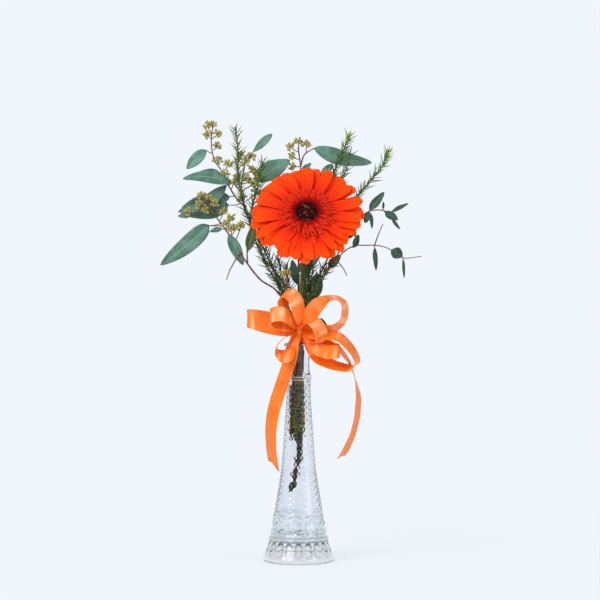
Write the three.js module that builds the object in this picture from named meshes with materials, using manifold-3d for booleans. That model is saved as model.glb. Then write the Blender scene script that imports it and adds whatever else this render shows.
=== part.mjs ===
// A gerbera in a pressed-glass bud vase, with seeded eucalyptus, needle sprigs, a gum twig and a ribbon bow.
// Millimetres, +Z up. The origin is the middle of the vase's underside, and the bloom faces -Y.

import * as THREE from 'three';
import { mergeVertices } from 'three/addons/utils/BufferGeometryUtils.js';
import Module from 'manifold-3d';

const wasm = await Module();
wasm.setup();

// ---------------------------------------------------------------- driving dimensions

const CLEARANCE = 0.35; // between pieces that touch
const SLIVER = 0.05; // edges shorter than this are closed up after pieces are joined

const VASE_SEGMENTS = 30; // two to a flute, so that crests and grooves alternate
const VASE_BODY = { from: 50, to: 178, rows: 13, relief: 0.4 };
const FLUTE_DEPTH = 0.9;
const WATER_LEVEL = 176;
const CAVITY_FLOOR = 14;

const SLOT_RADIUS = 6.2; // the stems pass the neck side by side on a ring of this radius
const LOWER_SLOT_RADIUS = 5.5; // and draw together a little at their lower ends
const NECK_HEIGHT = 190;
const SPREAD_HEIGHT = 236; // above this the stems spread

const BLOOM = { centre: [8, -9.9, 348.7], tilt: 32, rayReach: 56, raysPerLayer: 9, rayLayers: 4 };
const RAY_THICKNESS = 0.9;
const SCAPE_RADIUS = 2.75;
const SCAPE_SIDES = 8;
const SCAPE_STEPS = 12;
const STEM_SIDES = 4;
const STALKLET_RADIUS = 0.6; // of the stalks that carry the umbels

const RIBBON_WIDTH = 17;
const RIBBON_THICKNESS = 0.7;
const TIE = { inner: 8, outer: 8.8, from: 219, to: 233 };

const LEAF_THICKNESS = 1;
const BUD = { length: 6.2, belly: 1.45, bellyAt: 0.64, core: 0.95 };
const NEEDLE = { length: 10, root: 0.55, spacing: 14, rise: 42 };

const GOLDEN_ANGLE = THREE.MathUtils.degToRad(137.508);

// ---------------------------------------------------------------- colours

function finish(color, roughness, extra = {}) {
  return new THREE.MeshStandardMaterial({ color, roughness, ...extra });
}

const MATERIALS = {
  glass: finish(0xdfe9ec, 0.05, { transparent: true, opacity: 0.4 }),
  water: finish(0xe6f2f0, 0.02, { transparent: true, opacity: 0.5 }),
  stalk: finish(0x6f8a3a, 0.55),
  ray: finish(0xff3d08, 0.5),
  floret: finish(0xd3160c, 0.55),
  disc: finish(0x2a0709, 0.8),
  eucalyptus: finish(0x6d9a86, 0.6),
  needle: finish(0x2f4a28, 0.6),
  twig: finish(0x4f7260, 0.6),
  ribbon: finish(0xff7a2a, 0.35),
};

// ---------------------------------------------------------------- solids

const at = ([x, y, z]) => new THREE.Vector3(x, y, z);
const smooth = (points) => new THREE.CatmullRomCurve3(points.map(at), false, 'catmullrom', 0.5);

function signedVolume(position, index) {
  const [a, b, c] = [new THREE.Vector3(), new THREE.Vector3(), new THREE.Vector3()];
  let volume = 0;
  for (let i = 0; i < index.length; i += 3) {
    a.fromBufferAttribute(position, index[i]);
    b.fromBufferAttribute(position, index[i + 1]);
    c.fromBufferAttribute(position, index[i + 2]);
    volume += a.dot(b.cross(c)) / 6;
  }
  return volume;
}

/** A closed geometry as a solid that can be joined and cut. */
function solidOf(geometry) {
  geometry.deleteAttribute('normal');
  geometry.deleteAttribute('uv');
  const merged = mergeVertices(geometry);
  const position = merged.getAttribute('position');
  const corners = merged.index.array;
  const kept = [];
  for (let i = 0; i < corners.length; i += 3) {
    const [a, b, c] = corners.slice(i, i + 3);
    if (a !== b && b !== c && c !== a) kept.push(a, b, c);
  }
  if (signedVolume(position, kept) < 0) kept.reverse();
  const triVerts = Uint32Array.from(kept);
  const vertProperties = Float32Array.from(position.array);
  return new wasm.Manifold(new wasm.Mesh({ numProp: 3, vertProperties, triVerts }));
}

const fuse = (solids) => wasm.Manifold.union(solids);

/** The one body of a fused solid, without loose scraps. */
function oneBody(solid) {
  const bodies = solid.simplify(SLIVER).decompose();
  bodies.sort((a, b) => b.volume() - a.volume());
  const loose = bodies.slice(1).filter((body) => body.volume() > 1);
  if (loose.length > 0) {
    const places = loose.map((body) => body.boundingBox().min.map(Math.round));
    throw new Error(`loose near ${places}`);
  }
  return bodies[0];
}

/** The triangles of a body's outer skin alone, so that a hollow which fusing sealed is filled. */
function outerSkin({ vertProperties, triVerts }) {
  const leader = Array.from({ length: vertProperties.length / 3 }, (_, i) => i);
  const leaderOf = (i) => {
    while (leader[i] !== i) i = leader[i] = leader[leader[i]];
    return i;
  };
  for (let i = 0; i < triVerts.length; i += 3) {
    leader[leaderOf(triVerts[i])] = leaderOf(triVerts[i + 1]);
    leader[leaderOf(triVerts[i + 1])] = leaderOf(triVerts[i + 2]);
  }
  const shells = new Map();
  for (let i = 0; i < triVerts.length; i += 3) {
    const key = leaderOf(triVerts[i]);
    if (!shells.has(key)) shells.set(key, []);
    shells.get(key).push(triVerts[i], triVerts[i + 1], triVerts[i + 2]);
  }
  return [...shells.values()].sort((a, b) => b.length - a.length)[0];
}

/**
 * A skin over rings of points, closed at both ends. A ring of one point is an apex. leansForward says for
 * each side which way its four-cornered faces are cut in two.
 */
function loft(rings, leansForward = (side) => side % 2 === 0) {
  const points = rings.flat();
  const faces = [];
  let start = 0;
  for (let i = 0; i + 1 < rings.length; i++) {
    const [here, there] = [rings[i].length, rings[i + 1].length];
    const next = start + here;
    for (let k = 0; k < Math.max(here, there); k++) {
      const j = k + 1;
      if (there === 1) faces.push([start + k, start + (j % here), next]);
      else if (here === 1) faces.push([start, next + (j % there), next + k]);
      else {
        const [a, b, c, d] = [start + k, start + (j % here), next + (j % here), next + k];
        if (leansForward(k)) faces.push([a, b, c], [a, c, d]);
        else faces.push([a, b, d], [b, c, d]);
      }
    }
    start = next;
  }
  const [first, last] = [rings[0].length, rings[rings.length - 1].length];
  for (let k = 1; k + 1 < first; k++) faces.push([0, k + 1, k]);
  for (let k = 1; k + 1 < last; k++) faces.push([start, start + k, start + k + 1]);
  const geometry = new THREE.BufferGeometry().setFromPoints(points);
  geometry.setIndex(faces.flat());
  return solidOf(geometry);
}

/** A round bar along a curve. */
function bar(curve, radius, sides, steps) {
  const ring = [];
  for (let k = 0; k < sides; k++) {
    const angle = (2 * Math.PI * k) / sides;
    ring.push(new THREE.Vector2(radius * Math.cos(angle), radius * Math.sin(angle)));
  }
  const settings = { steps, bevelEnabled: false, extrudePath: curve };
  return solidOf(new THREE.ExtrudeGeometry(new THREE.Shape(ring), settings));
}

/** A body of revolution about the Z axis, from [radius, height] pairs that start and end on the axis. */
function turned(profile, segments) {
  const geometry = new THREE.LatheGeometry(profile.map(([r, z]) => new THREE.Vector2(r, z)), segments);
  return geometry.rotateX(Math.PI / 2);
}

/** A ring of points round a place, square to a direction. */
function ringAt(place, direction, radius, sides) {
  const helper = Math.abs(direction.z) > 0.9 ? new THREE.Vector3(1, 0, 0) : new THREE.Vector3(0, 0, 1);
  const side = new THREE.Vector3().crossVectors(direction, helper).normalize();
  const up = new THREE.Vector3().crossVectors(side, direction).normalize();
  const ring = [];
  for (let k = 0; k < sides; k++) {
    const angle = (2 * Math.PI * k) / sides;
    const point = place.clone().addScaledVector(side, radius * Math.cos(angle));
    ring.push(point.addScaledVector(up, radius * Math.sin(angle)));
  }
  return ring;
}

/** A blade with a diamond section. A row has its rib point, half its width, and its side and up directions. */
function blade(rows, thickness) {
  const rings = rows.map(({ rib, half, side, up, lift = 0 }) => {
    const edge = (sign) => rib.clone().addScaledVector(side, sign * half).addScaledVector(up, lift);
    const face = (sign) => rib.clone().addScaledVector(up, (sign * thickness) / 2);
    return [edge(-1), face(1), edge(1), face(-1)];
  });
  return loft(rings);
}

// ---------------------------------------------------------------- vase and water

/** Outer wall of the vase up to the lip, as [radius, height]. */
function vaseOutside() {
  const foot = [[0, 0], [34, 0], [35.2, 1.4], [35.2, 4.8], [32.8, 11.5], [30.6, 18], [29.6, 21]];
  const ring = [[30, 22.6], [29.6, 24.8], [28, 26.6]];
  const motifBand = [[26.8, 34], [25.3, 42]];
  const taper = smooth([[24.2, 0, 50], [21.4, 0, 66], [19, 0, 81], [16.9, 0, 97], [15.5, 0, 112],
    [13.9, 0, 137],
    [12.4, 0, 160], [12, 0, 178]]);
  const body = taper.getPoints(VASE_BODY.rows).map((point) => [point.x, point.z]);
  const shoulderRing = [[12.9, 180.4], [12.9, 184.4], [11.6, 187]];
  const neck = [[11.1, 199], [12.2, 208], [14.2, 213], [14.4, 217]];
  return [...foot, ...ring, ...motifBand, ...body, ...shoulderRing, ...neck];
}

/** The wall of the cavity, from the lip down to its floor. */
const CAVITY = [[12.6, 218], [10.6, 213], [8.9, 204], [8.8, 178], [10.6, 137], [13.6, 97], [17.8, 66],
    [20.6, 42],
  [18.5, 20], [13, CAVITY_FLOOR], [0, CAVITY_FLOOR]];

/** Pressed relief: flutes on the foot and rows of raised diamonds on the body. */
function pressRelief(geometry, outsideCount) {
  const position = geometry.getAttribute('position');
  const rowLength = position.count / (VASE_SEGMENTS + 1);
  const height = (VASE_BODY.to - VASE_BODY.from) / VASE_BODY.rows;
  for (let i = 0; i < position.count; i++) {
    const row = i % rowLength;
    const column = Math.floor(i / rowLength) % VASE_SEGMENTS;
    if (row >= outsideCount || row === 0) continue;
    const z = position.getZ(i);
    let push = 0;
    if (z > 10 && z < 20) push = column % 2 === 0 ? -FLUTE_DEPTH : 0;
    if (z > 28 && z < VASE_BODY.to - height / 2) {
      push = (row + column) % 2 === 0 ? VASE_BODY.relief : -VASE_BODY.relief;
    }
    const radius = Math.hypot(position.getX(i), position.getY(i));
    const scale = 1 + push / radius;
    position.setX(i, position.getX(i) * scale);
    position.setY(i, position.getY(i) * scale);
  }
}

function vase() {
  const outside = vaseOutside();
  const geometry = turned([...outside, ...CAVITY], VASE_SEGMENTS);
  pressRelief(geometry, outside.length);
  return solidOf(geometry);
}

/** Water that fills the cavity to its level, less the holes that the stems stand in. */
function water(holes) {
  const wall = CAVITY.filter(([, z]) => z < WATER_LEVEL && z > CAVITY_FLOOR).map(([r, z]) => [r - 0.6, z]);
  const top = [[0, WATER_LEVEL], [8.2, WATER_LEVEL]];
  const floor = [[12.4, CAVITY_FLOOR + CLEARANCE], [0, CAVITY_FLOOR + CLEARANCE]];
  const filling = solidOf(turned([...top, ...wall, ...floor], 20));
  return filling.subtract(fuse(holes));
}

// ---------------------------------------------------------------- bloom

/** Turns bloom coordinates (right, up across the face, and out of it) into the row frame. */
const bloomFrame = new THREE.Matrix4();
{
  const tilt = THREE.MathUtils.degToRad(BLOOM.tilt);
  const right = new THREE.Vector3(1, 0, 0);
  const up = new THREE.Vector3(0, Math.sin(tilt), Math.cos(tilt));
  const out = new THREE.Vector3(0, -Math.cos(tilt), Math.sin(tilt));
  bloomFrame.makeBasis(right, up, out).setPosition(...BLOOM.centre);
}
const onBloom = (radius, angle, out) =>
  new THREE.Vector3(radius * Math.cos(angle), radius * Math.sin(angle), out).applyMatrix4(bloomFrame);
const bloomDirection = (x, y, z) => new THREE.Vector3(x, y, z).transformDirection(bloomFrame);
const bloomTurned = (profile, segments) => solidOf(turned(profile, segments).applyMatrix4(bloomFrame));

/** One petal, floret or bract: rows of [radius, half width, height out of the face] along an angle. */
function bloomBlade(angle, rows, thickness, lift = 0) {
  const side = bloomDirection(-Math.sin(angle), Math.cos(angle), 0);
  const up = bloomDirection(0, 0, 1);
  const place = (radius, out) => onBloom(radius, angle, out);
  const ribs = rows.map(([radius, half, out]) => ({ rib: place(radius, out), half, side, up, lift }));
  return blade(ribs, thickness);
}

/** Ray petals in layers that turn past each other, lowest layer first. */
function rays() {
  const collar = [[7.2, -7.5], [13.5, -7.5], [14, -6.2], [13.2, -5.2], [7.2, -5.2], [7.2, -7.5]];
  const petals = [bloomTurned(collar, 22)];
  const { rayLayers: layers, raysPerLayer: count } = BLOOM;
  for (let layer = 0; layer < layers; layer++) {
    for (let k = 0; k < count; k++) {
      const angle = (2 * Math.PI * (k + layer / layers + 0.06 * Math.sin(5 * k + layer))) / count;
      const reach = BLOOM.rayReach - 1.1 * layer + 1.6 * Math.cos(angle) + 0.9 * Math.sin(3 * k + 2 * layer);
      const height = -6.2 + 1.25 * layer;
      const droop = 3 - 0.6 * layer + 0.2 * Math.sin(4 * k + layer);
      petals.push(bloomBlade(angle, [
        [12, 0.55, -6.8 + 0.45 * layer],
        [23, 3, height + 0.2],
        [reach - 12, 4.8, height - 0.3 * droop],
        [reach - 2.6, 3.4, height - 0.85 * droop],
        [reach, 1.1, height - droop],
      ], RAY_THICKNESS, 0.25));
    }
  }
  return fuse(petals);
}

/** The short inner florets, pointed, in rings that stand a little higher towards the disc. */
function innerFlorets() {
  const collar = [[7.2, -3.6], [12.4, -3.6], [13, -2.6], [11.8, -1.5], [7.2, -1.5], [7.2, -3.6]];
  const florets = [bloomTurned(collar, 18)];
  const rootRadius = 11;
  const ringSizes = [
    { count: 18, reach: 26, half: 1.1, height: -0.9 },
    { count: 15, reach: 21, half: 1.1, height: 0.7 },
    { count: 12, reach: 16.5, half: 1.1, height: 2.1 },
  ];
  ringSizes.forEach(({ count, reach, half, height }, ring) => {
    for (let k = 0; k < count; k++) {
      const angle = (2 * Math.PI * (k + ring / 3)) / count;
      const tip = reach + 1.5 * Math.sin(7 * k + ring);
      const turn = half / rootRadius;
      const root = [[-turn, -2.3], [0, -1.1], [turn, -2.3]].map(([away, out]) =>
        onBloom(rootRadius, angle + away, out));
      florets.push(loft([root, [onBloom(tip, angle, height)]]));
    }
  });
  return fuse(florets);
}

/** The dark disc: a low dome set with small pointed florets. */
function disc() {
  const dome = [[0, -4.9], [6.8, -4.9], [6.8, -1.1], [10.4, -0.7], [10, 0.8], [7.4, 2.2], [3.8, 2.9],
    [0, 3]];
  const pieces = [bloomTurned(dome, 14)];
  const spikes = 18;
  for (let k = 1; k <= spikes; k++) {
    const radius = 9.4 * Math.sqrt(k / spikes);
    const foot = 2.6 - 0.026 * radius * radius;
    const spike = [ringAt(onBloom(radius, k * GOLDEN_ANGLE, foot - 0.9), bloomDirection(0, 0, 1), 0.85, 3),
      [onBloom(radius + 0.4, k * GOLDEN_ANGLE, foot + 1.5)]];
    pieces.push(loft(spike));
  }
  return fuse(pieces);
}

/** The bare stalk with the green cup under the bloom and two rows of pointed bracts. */
function scape(curve) {
  const cup = [[0, -17.5], [2.9, -17.5], [4.6, -14.6], [8.2, -11.6], [11.8, -9.3], [12.6, -8.1], [0, -7.9]];
  const pieces = [bloomTurned(cup, 14), bar(curve, SCAPE_RADIUS, SCAPE_SIDES, SCAPE_STEPS)];
  const rows = [
    { count: 11, from: [7.2, 2.4, -11], tip: [18, 0.4, -9.2] },
    { count: 7, from: [3.9, 2.2, -14], tip: [13.4, 0.4, -11.6] },
  ];
  for (const { count, from, tip } of rows) {
    for (let k = 0; k < count; k++) pieces.push(bloomBlade((2 * Math.PI * k) / count, [from, tip], 1));
  }
  return fuse(pieces);
}

// ---------------------------------------------------------------- foliage

/** The place of a stem in the neck. Its hour runs from 0 to 11 round the ring of stems. */
function slot(hour, height, radius = SLOT_RADIUS) {
  const angle = (Math.PI * hour) / 6;
  return [radius * Math.cos(angle), radius * Math.sin(angle), height];
}

const rooted = (hour, foot, path) =>
  smooth([slot(hour, foot, LOWER_SLOT_RADIUS), slot(hour, NECK_HEIGHT), slot(hour, SPREAD_HEIGHT), ...path]);

/** The straight pieces that a bar with so many steps follows. */
function chords(curve, steps) {
  const points = curve.getSpacedPoints(steps);
  const path = new THREE.CurvePath();
  for (let i = 0; i < steps; i++) path.add(new THREE.LineCurve3(points[i], points[i + 1]));
  return path;
}

/** The sampled point of some paths that is nearest to a place. */
function nearest(place, paths) {
  let best = null;
  for (const path of paths) {
    const points = path.getSpacedPoints(100);
    points.forEach((point, i) => {
      const distance = point.distanceTo(place);
      if (best === null || distance < best.distance) best = { distance, points, i };
    });
  }
  return best;
}

/** Where what grows at a place leaves the stems: a little below the nearest point, so that it rises. */
function rootFor(place, paths) {
  const { distance, points, i } = nearest(place, paths);
  const length = points[0].distanceTo(points[1]);
  return points[i - Math.min(i, Math.round((0.5 * distance) / length))];
}

/** A leaf with an arched rib and a rounded outline, and the stalk that it leaves the stem by. */
function leaf({ base, tip, width, up = [0, -1, 0.25], arch = 0, sway = 0, cup = 0.8, broad = 0.8 }, root) {
  const [from, to] = [at(base), at(tip)];
  const along = to.clone().sub(from);
  const side = new THREE.Vector3().crossVectors(along, at(up)).normalize();
  const face = new THREE.Vector3().crossVectors(side, along).normalize();
  const places = width > 9 ? [0, 0.16, 0.45, 0.78, 1] : [0, 0.25, 0.65, 1];
  const rows = places.map((t) => {
    const bow = 4 * t * (1 - t);
    const rib = from.clone().addScaledVector(along, t);
    rib.addScaledVector(face, arch * bow).addScaledVector(side, sway * bow);
    const half = Math.max(0.5, 0.5 * width * Math.sin(Math.PI * t ** broad) ** 0.8);
    return { rib, half, side, up: face, lift: (cup * half * 2) / width };
  });
  if (root.distanceTo(from) < 1.5) rows[0].rib = root;
  else rows.unshift({ rib: root, half: 0.5, side, up: face });
  return blade(rows, LEAF_THICKNESS);
}

/** Club-shaped buds on an eight-faced core, one on each face but two, of which one is the stalk's. */
function umbel(hub, heading) {
  const turn = new THREE.Quaternion().setFromUnitVectors(new THREE.Vector3(1, 1, 1).normalize(), heading);
  const place = (x, y, z) => new THREE.Vector3(x, y, z).applyQuaternion(turn).add(hub);
  const faces = [];
  for (const x of [1, -1]) {
    for (const y of [1, -1]) {
      for (const z of [1, -1]) {
        const out = new THREE.Vector3(x, y, z).applyQuaternion(turn).normalize();
        const core = [place(x * BUD.core, 0, 0), place(0, y * BUD.core, 0), place(0, 0, z * BUD.core)];
        if (x * y * z < 0) core.reverse();
        const bare = x + y + z === -3 || (x > 0 && y < 0 && z < 0);
        if (bare) {
          faces.push(...core);
          continue;
        }
        const middle = core[0].clone().add(core[1]).add(core[2]).divideScalar(3);
        const belly = core.map((corner) => {
          const spread = corner.clone().sub(middle).setLength(BUD.belly);
          return hub.clone().addScaledVector(out, BUD.bellyAt * BUD.length).add(spread);
        });
        const tip = hub.clone().addScaledVector(out, BUD.length);
        for (let k = 0; k < 3; k++) {
          const j = (k + 1) % 3;
          faces.push(core[k], core[j], belly[j], core[k], belly[j], belly[k], belly[k], belly[j], tip);
        }
      }
    }
  }
  const geometry = new THREE.BufferGeometry().setFromPoints(faces);
  return solidOf(geometry);
}

/** Needles in threes along the upper part of a stem, each three leaning up and turned past the last. */
function needles(path, bare) {
  const pieces = [];
  const total = path.getLength();
  const lean = THREE.MathUtils.degToRad(NEEDLE.rise);
  let turn = 0;
  for (let s = bare; s < total - 1; s += NEEDLE.spacing) {
    const place = path.getPointAt(s / total);
    const heading = path.getTangentAt(s / total);
    const side = new THREE.Vector3().crossVectors(heading, new THREE.Vector3(0.2, 0.95, 0.1)).normalize();
    for (let k = 0; k < 3; k++) {
      const out = side.clone().applyAxisAngle(heading, turn + (2 * Math.PI * k) / 3);
      const foot = place.clone().addScaledVector(out, NEEDLE.root);
      const direction = out.multiplyScalar(Math.sin(lean)).addScaledVector(heading, Math.cos(lean));
      const reach = NEEDLE.length * (0.82 + 0.18 * Math.sin(2.3 * s + k));
      const tip = foot.clone().addScaledVector(direction, reach);
      pieces.push(loft([ringAt(foot, direction, NEEDLE.root, 3), [tip]]));
    }
    turn += 1.13;
  }
  const [end, heading] = [path.getPointAt(1), path.getTangentAt(1)];
  const foot = end.clone().addScaledVector(heading, -1.2);
  const last = end.clone().addScaledVector(heading, NEEDLE.length - 3);
  pieces.push(loft([ringAt(foot, heading, NEEDLE.root, 3), [last]]));
  return pieces;
}

/** A leafy stem with its side shoots, leaves, umbels and needles, as one solid. */
function spray({ stem, radius, steps, shoots = [], leaves = [], umbels = [], bare = null, needled = [] }) {
  const paths = [chords(stem, steps)];
  const pieces = [bar(stem, radius, STEM_SIDES, steps)];
  for (const [first, ...others] of shoots) {
    const { points, i } = nearest(at(first), paths);
    const curve = smooth([points[i].toArray(), ...others]);
    const shootSteps = others.length + 3;
    paths.push(chords(curve, shootSteps));
    pieces.push(bar(curve, 0.85 * radius, 3, shootSteps));
  }
  for (const shape of leaves) pieces.push(leaf(shape, rootFor(at(shape.base), paths)));
  for (const place of umbels) {
    const hub = at(place);
    const root = rootFor(hub, paths);
    const heading = hub.clone().sub(root).normalize().add(new THREE.Vector3(0, 0, 0.6)).normalize();
    const stalk = [root, hub].map((end) => ringAt(end, heading, STALKLET_RADIUS, 3));
    if (root.distanceTo(hub) > 1) pieces.push(loft(stalk));
    pieces.push(umbel(hub, heading));
  }
  if (bare !== null) pieces.push(...needles(paths[0], bare));
  for (const k of needled) pieces.push(...needles(paths[k + 1], 6));
  return fuse(pieces);
}

// ---------------------------------------------------------------- ribbon

/** A ribbon through stations of middle point, sideways and upward part of its width, and depth sign. */
function strip(stations, steps, cut = 0) {
  const middle = smooth(stations.map(([x, y, z]) => [x, y, z]));
  const across = smooth(stations.map(([, , , dx, dz, depth]) => {
    const rest = Math.max(0, RIBBON_WIDTH ** 2 - dx * dx - dz * dz);
    return [dx, depth * Math.sqrt(rest), dz];
  }));
  const rings = [];
  for (let i = 0; i <= steps; i++) {
    const t = i / steps;
    const centre = middle.getPoint(t);
    const width = across.getPoint(t).multiplyScalar(0.5);
    const tangent = middle.getTangent(t);
    const normal = new THREE.Vector3().crossVectors(tangent, width).setLength(RIBBON_THICKNESS / 2);
    const slant = i === steps ? cut / 2 : 0;
    const corner = (side, face) => {
      const edge = centre.clone().addScaledVector(width, side).addScaledVector(tangent, side * slant);
      return edge.addScaledVector(normal, face);
    };
    rings.push([corner(-1, 1), corner(1, 1), corner(1, -1), corner(-1, -1)]);
  }
  return loft(rings, (side) => side < 2);
}

const LOOPS = {
  top: [[2, -12, 233, -5, 0, 0], [3.5, -15, 241, -8, -6, -1], [2, -18, 250, -8, -7, -1],
    [-3, -20, 261, -8, -7, -1],
    [-10, -21, 268.5, -8, -7, -1], [-15.5, -21, 266, -8, -7, -1], [-16.5, -21, 259, -8, -7, -1],
    [-12.5, -20, 249, -8, -7, -1], [-6, -17, 240, -7, -5, -1], [0, -12, 232, -5, -2, 0]],
  farLeft: [[0, -11, 232, 0, 7, 0], [-14, -14, 232, 0, 14, 0], [-30, -15, 235.5, 0, 17, 0],
    [-45, -14, 240, 0, 17, 0],
    [-51.5, -7.5, 242.3, 0, 17, 0], [-45, -1, 243, 0, 17, 0], [-29, -1.5, 241, 0, 16, 0],
    [-13, -5, 237, 0, 12, 0],
    [-3, -9.5, 233, 0, 7, 0]],
  innerLeft: [[-1, -13, 233, 1, 6, 0], [-8, -25, 242, 1, 13, 1], [-16, -32, 247, 0, 14.5, 1],
    [-25, -31, 246.5, 0, 14.5, 1], [-28.6, -25.5, 243.5, 0, 14.5, 1], [-24, -20.5, 239.5, 0, 14.5, 1],
    [-13, -18, 236, 1, 12, 1], [-2, -12, 232, 1, 6, 0]],
  right: [[3, -12, 233, 4, -4, 0], [10, -18, 244, 11, -10, -1], [19, -22, 256, 9, -11, -1],
    [28, -24, 262, 5, -6, -1], [38, -24, 263, -1, -4.5, -1], [45, -23, 257, -6, -3, -1],
    [46, -21, 248.5, -7, 0, -1],
    [43, -19, 239, -6, 4, -1], [35, -16, 232.5, -3, 8, -1], [22, -13, 230, -1, 12, -1],
    [6, -11, 231, 0, 7, 0]],
  innerRight: [[2, -13, 231, -3, -5, 0], [9, -23, 239, -9, -7, -1], [15.5, -30, 239.5, -12, -5, -1],
    [21.5, -32, 231, -12, -5, -1], [22, -29, 221, -12, -4, -1], [14, -23, 217.5, -9, 5, -1],
    [3, -13, 228, -3, 5, 0]],
  lowerRight: [[3, -12, 230, -3, -6, 0], [15, -19, 227, -5, -9, -1], [28, -22, 226.5, -5, -9, -1],
    [40, -23, 224, -5, -8, -1], [50, -24, 215, -5, -7, -1], [57, -24, 204, -6, -4, -1],
    [57.5, -24, 197, -6, -4, -1],
    [52, -23, 192.5, -5, -5, -1], [40, -23, 194, -4, -5, -1], [27, -22, 199.5, -4, -6, -1],
    [14, -20, 208, -4, -7, -1], [4, -13, 226, -3, -6, 0]],
  lowerInner: [[3, -13, 230, 2, 6, 0], [14, -28, 217, 1, 11, 1], [26, -33, 212, 1, 11, 1],
    [36, -33, 211.5, 1, 11, 1],
    [40.5, -29, 212.5, 0, 12, 1], [36, -25.5, 214, 0, 12, 1], [22, -22, 217, 1, 11, 1],
    [4, -13, 228, 2, 6, 0]],
  lowerLeft: [[0, -13, 229, 2, 4, 0], [-10, -18, 226, 3, 3, 1], [-19, -21, 219, 2, 2, 1],
    [-22.5, -22, 210, 2, 4, 1],
    [-19, -22, 204, 1, 8, 1], [-12, -21, 203, 1, 9, 1], [-7, -23, 210, 5, 5, 1],
    [-1, -19, 222, 4, 3, 0], [1, -14, 229, 3, 3, 0]],
};
const TAILS = {
  left: [[0, -14, 229, 7, 1, 0], [-5.5, -20, 217, 12, 2, -1], [-9, -21, 200, 14.5, 3, -1],
    [-14.4, -21, 184, 15, 5, -1], [-21, -20, 164, 15, 5, -1], [-25.5, -19, 147, 13, 4, -1],
    [-27.5, -18, 130, 11, 1, -1],
    [-27, -17, 112, 10, -1, -1], [-25, -17, 98, 10, -3, -1]],
  right: [[3, -13, 229, 0, 7, 0], [12, -15, 225, 2, 7, 0], [24, -16.5, 221, 3, 6, -1],
    [35, -17, 216, 3, 5, -1],
    [44, -17.5, 208, 3, 4, -1], [51, -18, 197, 2, 2, -1], [56, -18, 183, -1, 1, -1],
    [59, -18, 167, -5, 0, -1], [59, -18, 155, -6, 1, -1],
    [57, -18, 140, -6, 1, -1], [53, -19, 126, -6, 2, -1], [47.5, -20, 114, -6, 3, -1],
    [42.5, -21, 106, -5, 3, -1]],
};

const TAIL_CUT = { left: 12, right: 8 }; // how much further the ribbon reaches at one edge

function ribbonBow() {
  const wrap = [[TIE.inner, TIE.from], [TIE.outer, TIE.from], [TIE.outer, TIE.to], [TIE.inner, TIE.to],
    [TIE.inner, TIE.from]];
  const knot = new THREE.SphereGeometry(1, 8, 5).scale(6.3, 5.5, 7.7).translate(1.4, -12.7, 230.4);
  const pieces = [solidOf(turned(wrap, 12)), solidOf(knot)];
  for (const stations of Object.values(LOOPS)) pieces.push(strip(stations, 9));
  pieces.push(strip(TAILS.left, 7, TAIL_CUT.left), strip(TAILS.right, 10, TAIL_CUT.right));
  return fuse(pieces);
}

// ---------------------------------------------------------------- the sprays

const scapeCurve = smooth([[0.4, -0.4, 104], [0.6, -0.6, NECK_HEIGHT], [1.2, -0.6, SPREAD_HEIGHT],
    [3.2, 2.5, 268],
  [5.2, 7.5, 300], [7, 10.4, 322], [7.9, 8.4, 335], [8, 3.8, 341.4]]);

const STEMS = {
  eucalyptusLeft: rooted(4, 70, [[-8, 15, 262], [-20, 20, 285], [-36, 20, 304], [-43, 19, 320],
    [-48, 18, 335],
    [-51, 18, 345], [-54.5, 19, 356], [-57, 21, 367], [-58, 22, 376], [-56, 24, 389], [-54, 26, 401],
    [-53, 27, 408]]),
  eucalyptusLow: rooted(8, 128, [[-11, -7.5, 254], [-23, -8.5, 271], [-38, -8, 281], [-51, -4, 297],
    [-58, 1, 308],
    [-66, 6, 321], [-76, 10, 335], [-82, 12, 343], [-91, 15, 355], [-95, 16, 362]]),
  eucalyptusTop: rooted(3, 132, [[0, 14, 262], [0, 23, 300], [1, 30, 340], [2, 34.5, 375], [2, 36, 396],
    [1, 37, 405], [-0.5, 38, 416]]),
  needlesTall: rooted(5, 126, [[-13, 9, 262], [-25, 13, 290], [-38, 12, 318], [-49, 10, 340], [-57, 11, 362],
    [-61, 14, 388], [-61, 17, 411], [-63, 19, 428], [-64.5, 20, 436]]),
  needlesLow: rooted(6, 120, [[-13, 2, 260], [-20, 4, 275], [-30, 5, 292], [-37, 6, 308], [-42, 6, 319]]),
  needlesRight: rooted(2, 130, [[6, 12, 262], [13, 18, 300], [20, 22, 335], [29, 26, 366], [36, 29, 390],
    [41, 29, 404], [46, 28, 414], [50, 28, 424], [52, 28, 430]]),
  needlesFar: rooted(1, 124, [[12, 10, 262], [27, 15, 298], [45, 18, 335], [60.5, 20, 367], [68, 20, 376],
    [76, 19, 385], [85, 17, 397], [89, 16, 406], [90.5, 16, 413]]),
  needlesFan: rooted(11, 122, [[9, -6, 252], [14, -7.5, 268], [20, -8, 284], [26, -8, 296]]),
  gumTwig: rooted(0, 136, [[12.5, 2, 258], [24, 4, 281], [36, 4, 301], [50, 4, 325], [63, 3, 344],
    [72, 2, 350],
    [84.6, 0, 350.5], [91, -0.5, 346.5]]),
};

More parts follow.
